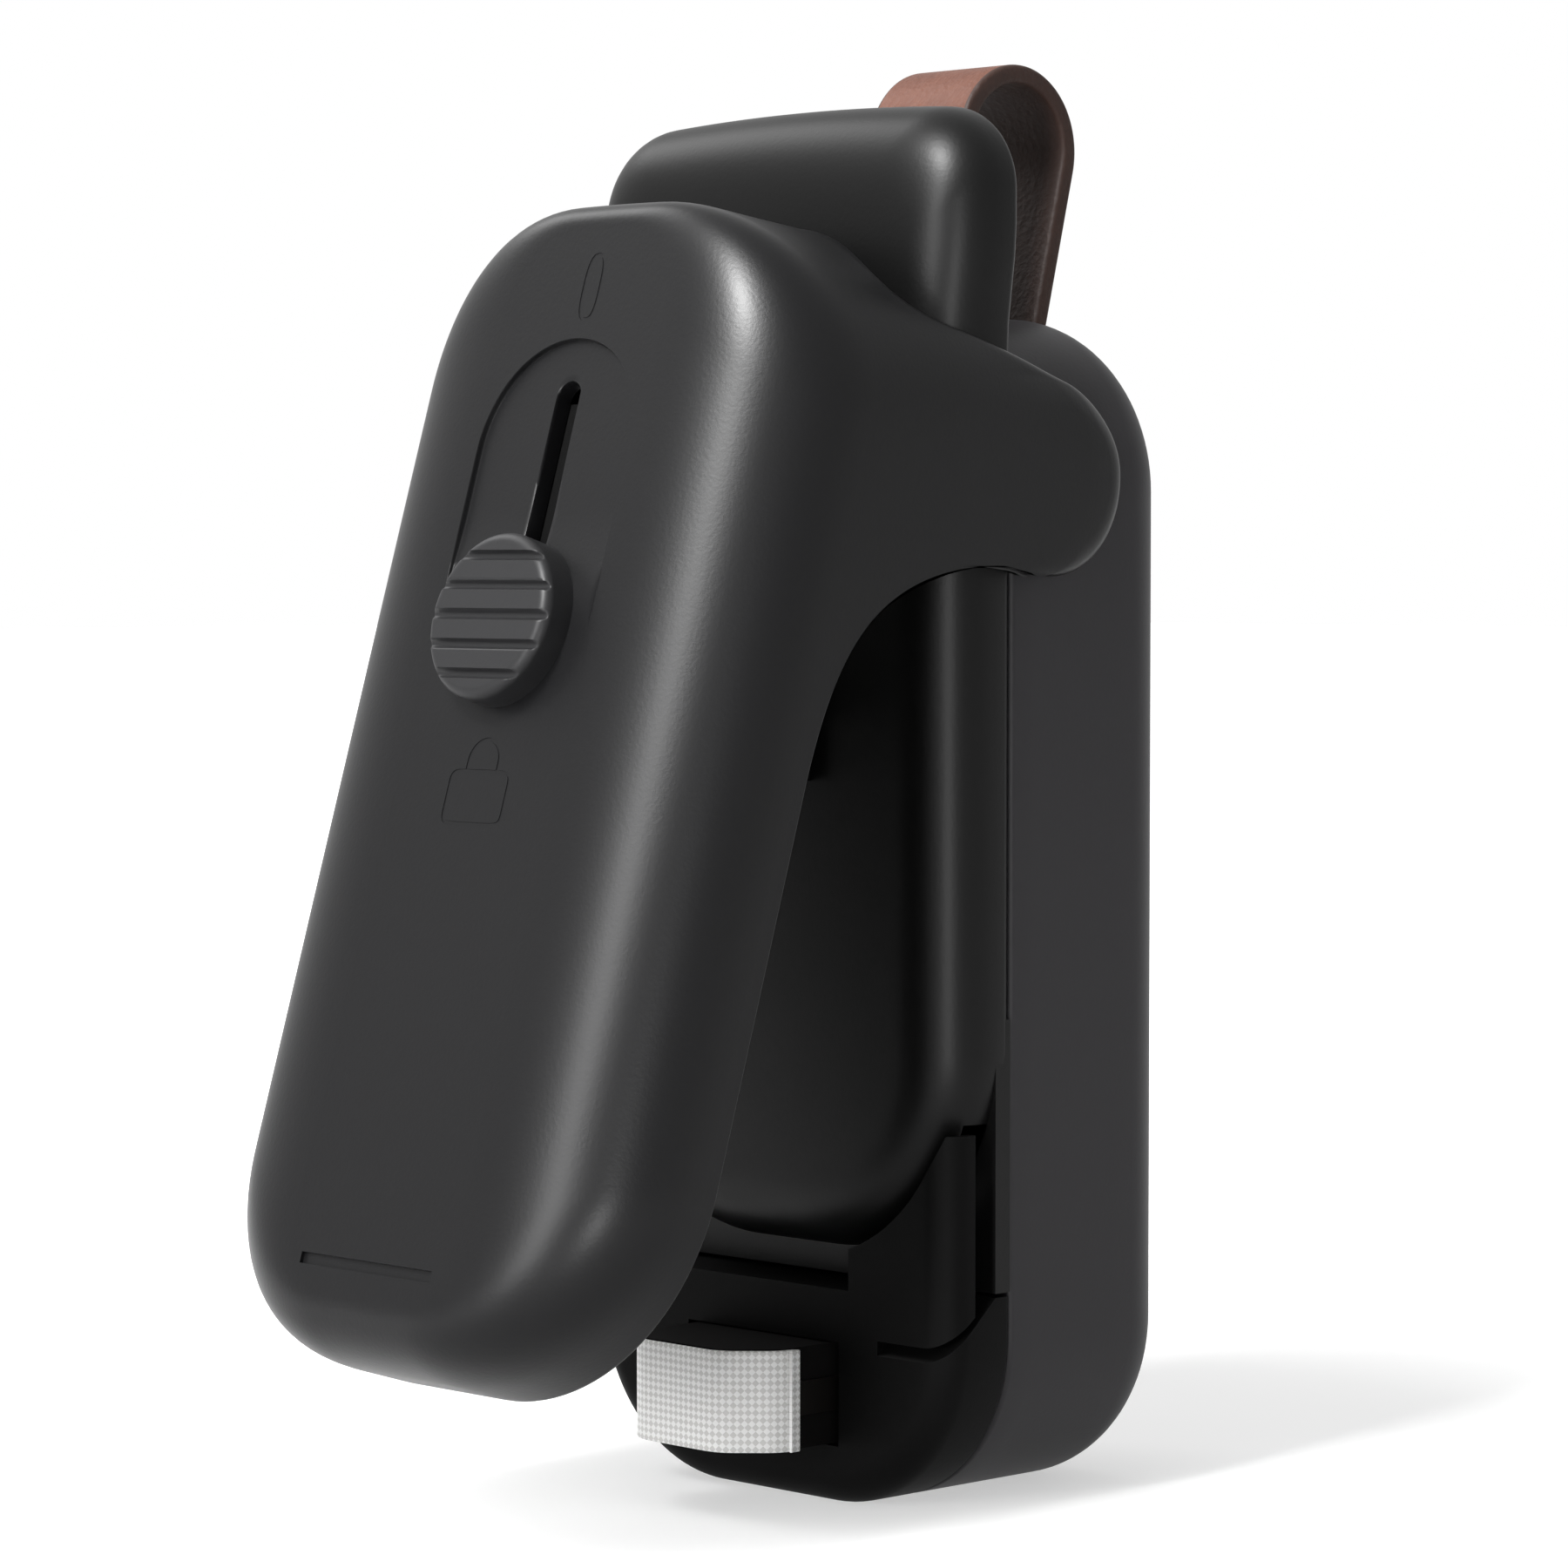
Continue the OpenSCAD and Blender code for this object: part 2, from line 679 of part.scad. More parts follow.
module circuit_board() {
    color("#2f5d3a") box([-board_half, board_front, board_lo], [board_half, board_back, board_hi]);
}

// chips and a capacitor on the front of the board
module board_parts() {
    color("#1a1a1a") {
        for (c = chips) translate([c[0], board_front - c[4], board_lo + c[1]]) cube([c[2], c[4], c[3]]);
        rod_y(capacitor[2], board_front - capacitor[3], board_front, capacitor[0], board_lo + capacitor[1]);
    }
}

module micro_switch() {
    color("#303030") box([plunger_x - switch_half, switch_front, plunger_z - switch_half],
        [plunger_x + switch_half, board_front, plunger_z + switch_half]);
}

module switch_plunger() {
    color("#d8d8d4") {
        rod_y(plunger_r, face_y - plunger_out, plunger_rest + plunger_flange_t, plunger_x, plunger_z);
        rod_y(plunger_r + 0.8, plunger_rest, plunger_rest + plunger_flange_t, plunger_x, plunger_z);
    }
}

// catch on the front face, drawn in the lever's frame with the lever pressed and the hook up
module lock_catch() {
    lip_lo = hook_top + lock_travel + catch_gap;
    bar_lo = hook_top + lock_travel + hook_lip + catch_gap;
    lip_y = hook_end - hook_t - catch_gap;
    base_z = pivot_z + bar_lo;
    color(steel) difference() {
        union() {
            translate([0, pivot_y, pivot_z]) rotate([closed_tilt, 0, 0]) across([
                [lip_y - hook_t, lip_lo], [lip_y, lip_lo], [lip_y, bar_lo], [0, bar_lo],
                [0, bar_lo + hook_t], [lip_y - hook_t, bar_lo + hook_t]
            ], -hook_w / 2 - 0.5, hook_w / 2 + 0.5);
            box([-hook_w / 2 - catch_lug, face_y - catch_base_t, base_z - catch_base_half],
                [hook_w / 2 + catch_lug, face_y, base_z + catch_base_half]);
        }
        box([-half_w, face_y, 0], [half_w, back_y, cap_h]);
    }
}

module housing_screws() {
    color(steel) for (s = [foot_screw, top_screw]) pair() {
        rod_y(screw_r, seam_y - screw_bite, back_y - head_sink, s[0], s[1]);
        rod_y(screw_head_r, back_y - screw_head_t - head_sink, back_y - head_sink, s[0], s[1]);
    }
}

// battery door, flush with the back, with a finger recess near its foot
module battery_door() {
    color(plastic) difference() {
        intersection() {
            rear_outer();
            box([-door_half, inner_back, door_lo], [door_half, back_y + over, door_hi]);
        }
        for (i = [0 : grip_n - 1])
            box([-grip_half, back_y - grip_deep, door_lo + grip_pitch * (i + 2)],
                [grip_half, back_y + over, door_lo + grip_pitch * (i + 2.5)]);
    }
}

module strap_bar() {
    color(steel) rod_x(bar_d / 2, -bar_half + 0.05, bar_half - 0.05, bar_y, bar_z);
}

module loop_side(foot, head) {
    hull() {
        translate([bar_y, bar_z]) circle(r = foot, $fn = 32);
        translate([loop_y, loop_z]) circle(r = head, $fn = 32);
    }
}

module strap_loop() {
    color("#a8642c") translate([-strap_w / 2, 0, 0]) rotate([90, 0, 90])
        linear_extrude(strap_w) difference() {
            loop_side(loop_foot, loop_r);
            loop_side(loop_in, loop_r - strap_t);
        }
}

// side view of the lever: skirt, swept ear and round ear end
lever_side = concat(
    [[-lever_front - over, lever_top + over], [-lever_front - over, -lever_foot - over],
        [-lever_skirt, -lever_foot - over]],
    bezier([[-lever_skirt, -sweep_drop], [-lever_skirt, -sweep_turn],
        [-sweep_y, ear_cz - ear_r - 1.4], [ear_cy - 0.7, ear_cz - ear_r]], 10),
    arc(ear_cy, ear_cz, ear_r, -85, 90),
    [[-lever_skirt, ear_up], [-lever_skirt, lever_top + over]]
);

module lever_body(inset, y1) {
    pillow(2 * (lever_half - inset), inset - lever_foot, lever_top - inset,
        lever_top_r - inset, lever_foot_r - inset, inset == 0 ? -lever_front : lever_floor, y1,
        lever_fillet - inset, 0, lever_arc - inset);
}

module lever_shell() {
    color(plastic) on_lever() difference() {
        union() {
            difference() {
                intersection() {
                    lever_body(0, ear_cy + ear_r + over);
                    across(lever_side, -lever_half, lever_half);
                }
                lever_body(lever_wall, ear_cy + ear_r + 3);
                box([-lever_in, -lever_skirt - over, -lever_foot - over],
                    [lever_in, ear_r + over, lever_top + over]);
            }
            pair() rod_x(journal_r, journal_in, lever_in + slice, 0, 0);
            for (z = liner_screw_z) pair() rod_y(post_r, lever_floor - slice, liner_y, liner_screw_x, z);
            pair() box([slide_w / 2 + rail_gap, lever_floor - slice, slide_lo - 1],
                [slide_w / 2 + rail_gap + rail_t, liner_y, slide_hi + lock_travel + 1]);
        }
        pair() rod_x(shaft_r + 0.02, journal_in - over, shaft_end + 0.2, 0, 0);
        for (z = liner_screw_z) pair()
            rod_y(pilot_r + pilot_gap, lever_floor - 0.8, liner_y + over, liner_screw_x, z);
        deep(concat(arc(0, -knob_drop, panel_r, 180, 360), arc(0, lock_travel - knob_drop, panel_r, 0, 180)),
            -lever_front - over, panel_y);
        box([-slot_w / 2, -lever_front - over, slot_lo], [slot_w / 2, lever_floor + slice, slot_hi]);
    }
}

// inner plate of the lever: keeps the slide in, seats the spring's leg and presses the switch
module lever_liner() {
    y1 = liner_y + liner_t;
    touch = in_lever([face_y - plunger_out + plunger_travel - 0.3, plunger_z]);
    leg_z = coil_r + wire_d / 2 + 0.2;
    color("#3a3a3c") on_lever() difference() {
        union() {
            box([-liner_half, liner_y, -liner_down], [liner_half, y1, liner_up]);
            box([plunger_x - 1.5, y1 - slice, touch[1] - 2], [plunger_x + 1.5, touch[0], touch[1] + 2]);
            box([coil_x1 - 2.5, y1 - slice, leg_z], [coil_x1 + 2.5, 2 - front_leg, leg_z + 1.2]);
        }
        box([-liner_slot_half, liner_y - over, slide_lo - 0.6],
            [liner_slot_half, y1 + over, lock_travel - knob_drop + 3]);
        for (z = liner_screw_z) pair() rod_y(pilot_r + 0.15, liner_y - over, y1 + over, liner_screw_x, z);
    }
}

module liner_screws() {
    y1 = liner_y + liner_t;
    color(steel) on_lever() for (z = liner_screw_z) pair() {
        rod_y(pilot_r, lever_floor - 0.6, y1 + slice, liner_screw_x, z);
        rod_y(1.8, y1, y1 + 1.1, liner_screw_x, z);
    }
}

module pivot_shaft() {
    color(steel) on_lever() rod_x(shaft_r, -shaft_end, shaft_end, 0, 0);
}

// torsion spring on the shaft: rear leg under the strap notch, front leg under the liner's ledge
coil_rings = round(8 * coil_turns);
coil_sweep = 360 * coil_turns - open_tilt;
coil_mid = [for (i = [0 : coil_rings])
    let (a = 90 + coil_sweep * i / coil_rings, n = [0, cos(a), sin(a)])
    [[coil_x0 + (coil_x1 - coil_x0) * i / coil_rings, pivot_y, pivot_z] + coil_r * n, n]];
coil_end = coil_mid[coil_rings];
spring_path = concat(
    [[coil_mid[0][0] + [0, rear_leg, 0], coil_mid[0][1]]],
    coil_mid,
    [[coil_end[0] + front_leg * [0, -coil_end[1][2], coil_end[1][1]], coil_end[1]]]
);

module return_spring() {
    echo(return_spring_gap = least_gap(coil_mid, 8, wire_d), battery_spring_gap =
        least_gap(battery_path(0, 0), 8, battery_wire));
    color(steel) tube(spring_path, [1, 0, 0], wire_d / 2);
}

// block at the lever's foot that carries the pad, with its face square to the jaw when pressed
pad_face = jaw_front + film_gap;
pad_lo = jaw_z - 0.3;
pad_hi = jaw_z + jaw_h + 1.5;
pad_half = jaw_half + 0.4;

module pad_holder() {
    a = in_lever([-pad_face - pad_t, pad_lo - 0.4]);
    b = in_lever([-pad_face - pad_t, pad_hi + 0.6]);
    color("#d9d6cf") on_lever() intersection() {
        lever_body(lever_wall + fit, 0);
        across([[lever_floor, a[1] + 0.2], a, b, [lever_floor, b[1] + 1]], -pad_half - 1, pad_half + 1);
    }
}

module silicone_pad() {
    corners = [[-pad_face - pad_t, pad_lo], [-pad_face, pad_lo],
        [-pad_face, pad_hi], [-pad_face - pad_t, pad_hi]];
    color("#c9473a") on_lever() across([for (p = corners) in_lever(p)], -pad_half, pad_half);
}

module lock_knob() {
    top = knob_back - knob_h;
    color(plastic) on_lever() translate([0, 0, -knob_drop]) difference() {
        union() {
            rod_y(knob_d / 2, top, knob_back, 0, 0);
            box([-stem_w / 2, knob_back - slice, -stem_h / 2], [stem_w / 2, slide_y, stem_h / 2]);
        }
        for (i = [0 : knob_grooves - 1]) {
            z = (i - (knob_grooves - 1) / 2) * knob_d / (knob_grooves + 1);
            box([-knob_d, top - over, z - 0.45], [knob_d, top + 0.7, z + 0.45]);
        }
        rod_y(lock_screw_r + 0.02, slide_y - 2.6, slide_y + over, 0, 0);
    }
}

module lock_slide() {
    color("#d8d8d4") on_lever() difference() {
        union() {
            box([-slide_w / 2, slide_y, slide_lo], [slide_w / 2, slide_back, slide_hi]);
            across([[slide_back - slice, slide_lo], [hook_end, slide_lo], [hook_end, hook_top + hook_lip],
                [hook_end - hook_t, hook_top + hook_lip], [hook_end - hook_t, hook_top],
                [slide_back - slice, hook_top]], -hook_w / 2, hook_w / 2);
        }
        rod_y(lock_screw_r + 0.1, slide_y - over, slide_back + over, 0, -knob_drop);
    }
}

module lock_screw() {
    color(steel) on_lever() {
        rod_y(lock_screw_r, slide_y - 2.4, slide_back + slice, 0, -knob_drop);
        rod_y(1.7, slide_back, slide_back + 1, 0, -knob_drop);
    }
}

rear_housing();
front_housing();
heater_block();
heater_core();
heating_ribbon();
glass_cloth();
heater_terminals();
heater_wires();
cutter_blade();
battery_cell_left();
battery_cell_right();
battery_springs();
bridge_plate();
contact_plates();
circuit_board();
board_parts();
micro_switch();
switch_plunger();
lock_catch();
housing_screws();
battery_door();
strap_bar();
strap_loop();
lever_shell();
lever_liner();
liner_screws();
pivot_shaft();
return_spring();
pad_holder();
silicone_pad();
lock_knob();
lock_slide();
lock_screw();
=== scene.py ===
import math
import bmesh
import bpy
import numpy as np
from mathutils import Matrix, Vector


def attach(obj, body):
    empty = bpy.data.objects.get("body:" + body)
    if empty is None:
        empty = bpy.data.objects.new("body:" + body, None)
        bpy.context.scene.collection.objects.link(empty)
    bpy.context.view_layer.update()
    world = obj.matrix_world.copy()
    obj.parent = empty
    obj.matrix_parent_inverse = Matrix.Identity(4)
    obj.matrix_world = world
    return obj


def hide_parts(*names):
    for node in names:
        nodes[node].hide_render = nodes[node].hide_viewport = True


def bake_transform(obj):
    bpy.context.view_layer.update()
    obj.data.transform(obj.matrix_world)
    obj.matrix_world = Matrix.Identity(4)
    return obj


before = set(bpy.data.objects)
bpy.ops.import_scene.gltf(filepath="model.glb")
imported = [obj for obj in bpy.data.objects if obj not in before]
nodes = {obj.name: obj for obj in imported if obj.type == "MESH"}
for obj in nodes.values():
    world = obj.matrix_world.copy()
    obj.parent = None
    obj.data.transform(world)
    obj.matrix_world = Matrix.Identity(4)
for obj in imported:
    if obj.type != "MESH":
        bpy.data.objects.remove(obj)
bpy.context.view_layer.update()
mm = 0.001
print("frame loaded:", len(nodes), "CAD nodes")


# sRGB hex to linear RGBA
def linear(hexColour):
    parts = np.array([int(hexColour[i:i + 2], 16) for i in (1, 3, 5)]) / 255
    parts = np.where(parts <= 0.04045, parts / 12.92, ((parts + 0.055) / 1.055) ** 2.4)
    return (*parts.tolist(), 1.0)


# one node with its settings and its links; inputs are values, or (node, output) pairs to link from
def addNode(tree, kind, inputs=None, **settings):
    node = tree.nodes.new(kind)
    for key, value in settings.items():
        setattr(node, key, value)
    for key, value in (inputs or {}).items():
        if isinstance(value, tuple) and len(value) == 2 and hasattr(value[0], "outputs"):
            tree.links.new(value[0].outputs[value[1]], node.inputs[key])
        else:
            node.inputs[key].default_value = value
    return node


# an empty material with its surface shader ready
def startMaterial(name, **sockets):
    material = bpy.data.materials.new(name)
    material.use_nodes = True
    tree = material.node_tree
    shader = tree.nodes["Principled BSDF"]
    for key, value in sockets.items():
        shader.inputs[key.replace("_", " ")].default_value = value
    return material, tree, shader


# plain finish without a pattern, such as a bright or dull metal or a smooth plastic
def plainFinish(name, colour, roughness, metal=0.0):
    return startMaterial(name, Base_Color=linear(colour), Roughness=roughness, Metallic=metal)[0]


# size and depth of the grain in mm
absGrain = {"size": 0.32, "strength": 0.10, "deep": 0.1}


# moulded ABS: satin, with a fine spark-eroded grain that breaks up the highlights
def mouldedAbs(name, colour, roughness, shine):
    material, tree, shader = startMaterial(name, Base_Color=linear(colour), Roughness=roughness, IOR=1.50,
                                           Specular_IOR_Level=shine)
    place = addNode(tree, "ShaderNodeTexCoord")
    grain = addNode(tree, "ShaderNodeTexNoise", {
        "Vector": (place, "Object"), "Scale": 1 / (absGrain["size"] * mm), "Detail": 2.0, "Roughness": 0.6})
    bump = addNode(tree, "ShaderNodeBump", {
        "Height": (grain, "Fac"), "Strength": absGrain["strength"], "Distance": absGrain["deep"] * mm})
    tree.links.new(bump.outputs["Normal"], shader.inputs["Normal"])
    return material


absBlack = mouldedAbs("moulded ABS black", "#0c0c0d", 0.37, shine=0.15)
# painted shade: the front housing is the lever's black ABS made darker and duller, so that it reads as shaded
# behind the lever
absFrontShaded = mouldedAbs("moulded ABS black in painted shade", "#080808", 0.41, shine=0.12)
absCharcoal = mouldedAbs("moulded ABS charcoal", "#2a292b", 0.5, shine=0.14)
# black of the inner parts, also used as painted shade on the heater block: darker and duller than the black
# ABS
absInnerAndShade = mouldedAbs("moulded ABS inner parts", "#070707", 0.55, shine=0.04)
absKnob = mouldedAbs("moulded ABS knob", "#1d1d1e", 0.45, shine=0.14)

# sizes of the colour's drift, the pebbles and the fibres, and the relief's depth, in mm
hide = {"drift": 3.5, "pebble": 0.55, "fibre": 0.25, "strength": 0.35, "deep": 0.12}


# leather: waxed top grain; the colour drifts over some millimetres and small pebbles break the shine
def waxedLeather(name, light, dark, roughness):
    material, tree, shader = startMaterial(name, Roughness=roughness, IOR=1.46, Specular_IOR_Level=0.2)
    place = addNode(tree, "ShaderNodeTexCoord")
    drift = addNode(tree, "ShaderNodeTexNoise", {
        "Vector": (place, "Object"), "Scale": 1 / (hide["drift"] * mm), "Detail": 4.0, "Roughness": 0.65})
    tone = addNode(tree, "ShaderNodeMix", {
        "Factor": (drift, "Fac"), "A": linear(dark), "B": linear(light)}, data_type="RGBA")
    pebble = addNode(tree, "ShaderNodeTexVoronoi", {
        "Vector": (place, "Object"), "Scale": 1 / (hide["pebble"] * mm)})
    fibre = addNode(tree, "ShaderNodeTexNoise", {
        "Vector": (place, "Object"), "Scale": 1 / (hide["fibre"] * mm), "Detail": 3.0})
    both = addNode(tree, "ShaderNodeMath", {0: (pebble, "Distance"), 1: (fibre, "Fac")}, operation="ADD")
    bump = addNode(tree, "ShaderNodeBump", {
        "Height": (both, "Value"), "Strength": hide["strength"], "Distance": hide["deep"] * mm})
    tree.links.new(tone.outputs["Result"], shader.inputs["Base Color"])
    tree.links.new(bump.outputs["Normal"], shader.inputs["Normal"])
    return material


leatherFace = waxedLeather("waxed leather face", "#613826", "#432318", 0.5)
# painted shade: the loop's inner, flesh side is coloured as dark as it looks in its shadow
leatherInnerShade = waxedLeather("leather inner side in painted shade", "#33241f", "#261a16", 0.65)
# the cut edges: a darker tone of their own, darkened further as painted shade
leatherEdgeAndShade = waxedLeather("leather cut edge with painted shade", "#37251f", "#281a15", 0.6)

# size of the weave's squares and depth of its relief in mm
weave = {"square": 0.38, "bias": 45.0, "light": "#e8e8e7", "dark": "#c6c5c3", "strength": 0.25, "deep": 0.06}


# PTFE-coated glass cloth: a plain weave laid on the bias
def glassCloth(name, w):
    material, tree, shader = startMaterial(name, Roughness=0.45, IOR=1.38, Specular_IOR_Level=0.4)
    place = addNode(tree, "ShaderNodeTexCoord")
    turned = addNode(tree, "ShaderNodeMapping", {
        "Vector": (place, "UV"), "Rotation": (0, 0, math.radians(w["bias"])),
        "Scale": (1 / w["square"], 1 / w["square"], 1)})
    threads = addNode(tree, "ShaderNodeTexChecker", {
        "Vector": (turned, "Vector"), "Scale": 1.0, "Color1": linear(w["light"]),
        "Color2": linear(w["dark"])})
    bump = addNode(tree, "ShaderNodeBump", {
        "Height": (threads, "Fac"), "Strength": w["strength"], "Distance": w["deep"] * mm})
    tree.links.new(threads.outputs["Color"], shader.inputs["Base Color"])
    tree.links.new(bump.outputs["Normal"], shader.inputs["Normal"])
    return material


clothWeave = glassCloth("PTFE glass cloth", weave)
springSteel = plainFinish("drawn spring steel", "#b9babc", 0.28, 1.0)
platedSteel = plainFinish("nickel plated steel", "#93918d", 0.3, 1.0)
brassSheet = plainFinish("stamped brass", "#c9a357", 0.3, 1.0)
# the heating ribbon is coloured near black
alloyRibbon = plainFinish("dark nickel chrome ribbon", "#211f1e", 0.5, 1.0)
ceramicBar = mouldedAbs("dark fired ceramic", "#0b0a0a", 0.8, shine=0.05)
wireSleeve = plainFinish("silicone wire sleeve", "#a52a22", 0.45)
cellSleeve = plainFinish("printed cell sleeve", "#2f5d8a", 0.35)
boardLaminate = plainFinish("glass epoxy board", "#1f5b3a", 0.4)
chipResin = plainFinish("chip moulding resin", "#202123", 0.5)
whitePlastic = plainFinish("white nylon", "#e8e6e1", 0.45)
siliconePad = plainFinish("silicone rubber", "#b8b4ad", 0.55)
print("materials made")

# how far a cutting solid reaches past the surface that it cuts, in mm
past = 1.0


# quads of a grid of rows x columns, whose columns close into a ring; wrapRows closes the rows too
def gridQuads(rows, columns, wrapRows=False):
    r = np.arange(rows if wrapRows else rows - 1)[:, None]
    c = np.arange(columns)[None, :]
    nextR = (r + 1) % rows
    nextC = (c + 1) % columns
    quads = np.stack([r * columns + c, r * columns + nextC, nextR * columns + nextC, nextR * columns + c], -1)
    return quads.reshape(-1, 4).tolist()


# a solid from stacked rings (rows, columns, 3) in mm, closed with a flat face at both ends
def stack(rings):
    rows, columns = rings.shape[:2]
    faces = gridQuads(rows, columns)
    faces.append(list(range(columns)))
    faces.append(list(range((rows - 1) * columns, rows * columns)))
    return rings.reshape(-1, 3), faces


# a ring-shaped solid: the rows close as well, so the rings run through the hole and back
def torus(rings):
    rows, columns = rings.shape[:2]
    return rings.reshape(-1, 3), gridQuads(rows, columns, wrapRows=True)


# a box between two corners in mm
def boxPart(low, high):
    low, high = np.array(low, float), np.array(high, float)
    corner = np.array([[x, y, z] for z in (0, 1) for x, y in ((0, 0), (1, 0), (1, 1), (0, 1))])
    faces = [[0, 3, 2, 1], [4, 5, 6, 7], [0, 1, 5, 4], [1, 2, 6, 5], [2, 3, 7, 6], [3, 0, 4, 7]]
    return low + corner * (high - low), faces


# a rod along Y with radius r from y0 to y1, with count sides
def rodPart(x, z, r, y0, y1, count):
    a = np.linspace(0, 2 * np.pi, count, endpoint=False)
    ring = np.stack([x + r * np.cos(a), np.zeros(count), z + r * np.sin(a)], -1)
    return stack(np.stack([ring + [0, y0, 0], ring + [0, y1, 0]]))


# mesh object from solids in mm; every solid is closed, so its faces are turned outwards
def makeMesh(name, parts, smoothAngle=32):
    points, faces, start = [], [], 0
    for solidPoints, solidFaces in parts:
        points.append(np.asarray(solidPoints, float) * mm)
        faces += [[i + start for i in f] for f in solidFaces]
        start += len(solidPoints)
    mesh = bpy.data.meshes.new(name)
    mesh.from_pydata(np.concatenate(points).tolist(), [], faces)
    work = bmesh.new()
    work.from_mesh(mesh)
    bmesh.ops.recalc_face_normals(work, faces=work.faces)
    work.to_mesh(mesh)
    work.free()
    smooth(mesh, smoothAngle)
    piece = bpy.data.objects.new(name, mesh)
    bpy.context.scene.collection.objects.link(piece)
    return piece


# smooth shading with sharp edges above an angle
def smooth(mesh, angle):
    mesh.polygons.foreach_set("use_smooth", np.ones(len(mesh.polygons), bool))
    mesh.set_sharp_from_angle(angle=math.radians(angle))


# cuts other solids out of a piece or trims it to them, and keeps the result as its mesh
def shapeWith(piece, solids, operation="DIFFERENCE", smoothAngle=32):
    for index, solid in enumerate(solids):
        tool = makeMesh(piece.name + "Tool" + str(index), [solid])
        change = piece.modifiers.new("shape", "BOOLEAN")
        change.operation = operation
        change.solver = "EXACT"
        change.object = tool
        bpy.context.view_layer.update()
        done = bpy.data.meshes.new_from_object(piece.evaluated_get(bpy.context.evaluated_depsgraph_get()))
        piece.modifiers.clear()
        piece.data = done
        bpy.data.objects.remove(tool)
    smooth(piece.data, smoothAngle)


# gives a piece its material and body, and hides the CAD nodes it stands for; slotName is not used
def dress(piece, material, body, slotName, *replaced):
    piece.data.materials.clear()
    piece.data.materials.append(material)
    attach(piece, body)
    if replaced:
        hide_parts(*replaced)


# lengths of the parts of a rounded outline's right half, from bottom middle to top middle:
# flat foot, foot corner, straight side, top corner, arched top
def outlineShape(half, low, high, topR, lowR, crown):
    cornerZ = high - crown + math.sqrt((crown - topR) ** 2 - (half - topR) ** 2)
    turn = math.atan2(cornerZ - high + crown, half - topR)
    spans = [half - lowR, lowR * math.pi / 2, cornerZ - low - lowR, topR * turn, crown * (math.pi / 2 - turn)]
    return {"half": half, "low": low, "high": high, "topR": topR, "lowR": lowR, "crown": crown,
            "cornerZ": cornerZ, "turn": turn, "ends": np.cumsum([0] + spans)}


# x, z and outward normal at length s along the right half of an outline
def outlineAt(shape, s):
    s = np.asarray(s, float)
    e = shape["ends"]
    half, topR, lowR, crown = shape["half"], shape["topR"], shape["lowR"], shape["crown"]
    footZ = shape["low"] + lowR
    parts = [s < e[1], s < e[2], s < e[3], s < e[4]]
    footA = -np.pi / 2 + (s - e[1]) / lowR
    topA = (s - e[3]) / topR
    crownA = shape["turn"] + (s - e[4]) / crown
    angle = np.select(parts, [-np.pi / 2, footA, 0.0, topA], crownA)
    nx, nz = np.cos(angle), np.sin(angle)
    centreX = np.select(parts, [s, half - lowR, half - lowR, half - topR], 0.0)
    centreZ = np.select(parts, [footZ, footZ, footZ + s - e[2], shape["cornerZ"]], shape["high"] - crown)
    radius = np.select(parts, [lowR, lowR, lowR, topR], crown)
    return centreX + radius * nx, centreZ + radius * nz, nx, nz


# length along the right half at height z, on the side or the top corner
def lengthAtZ(shape, z):
    z = np.asarray(z, float)
    over = np.clip((z - shape["cornerZ"]) / shape["topR"], 0, 1)
    return shape["ends"][2] + np.minimum(z, shape["cornerZ"]) - shape["low"] - shape["lowR"] \
        + shape["topR"] * np.arcsin(over)


# lengths along the right half, closer together on the corners
def outlineSteps(shape):
    e, counts = shape["ends"], (8, 26, 26, 24, 18)
    parts = [np.linspace(a, b, count, endpoint=False) for a, b, count in zip(e[:-1], e[1:], counts)]
    return np.concatenate(parts + [e[-1:]])


# closes the right halves of rings with their mirror image
def mirrored(right):
    return np.concatenate([right, right[:, -2:0:-1] * [-1, 1, 1]], 1)


# rings of a rounded body: each station is (y, inset), and the outline is drawn in by inset along its normal
def bodyRings(shape, stations):
    x, z, nx, nz = outlineAt(shape, outlineSteps(shape))
    y = np.array([p[0] for p in stations])[:, None]
    inset = np.array([p[1] for p in stations])[:, None]
    return mirrored(np.stack(np.broadcast_arrays(x - nx * inset, y, z - nz * inset), -1))


# stations of a quarter-round edge of radius r, from the side (inset base) to the face at y; outward is +1 or
# -1 along Y
def roundEdge(y, r, outward, count, base=0.0):
    a = np.linspace(0, np.pi / 2, count)
    return [(y - outward * (r - r * np.sin(t)), base + r - r * np.cos(t)) for t in a]


# sizes and places of the pieces are in mm, and angles in degrees
housing = {
    "half": 19.0, "rearHigh": 87.0, "capHigh": 102.0, "back": 17.0, "face": -7.5, "seam": -1.0, "wall": 1.8,
    "corner": 13.0, "flatArch": 5000.0, "capR": 6.2, "capArch": 200.0, "backRound": 5.0, "backFlat": 0.6,
    "frontRound": 5.0, "frontLow": 18.5, "frontCorner": 15.0, "blockHigh": 16.0, "seamRound": 0.45,
    "screws": ((12.0, 9.5), (9.4, 81.2)), "headR": 2.0, "headFit": 0.15, "headSink": 1.0,
}
door = {
    "half": 15.2, "low": 15.0, "high": 73.0, "fit": 0.12, "seat": 0.4, "deep": 8.0, "grooves": 5,
    "grooveHalf": 5.0, "grooveLow": 4.0, "groovePitch": 2.0, "grooveTall": 1.0, "grooveDeep": 0.5,
}
notch = {"half": 5.6, "front": 9.05, "low": 80.65}


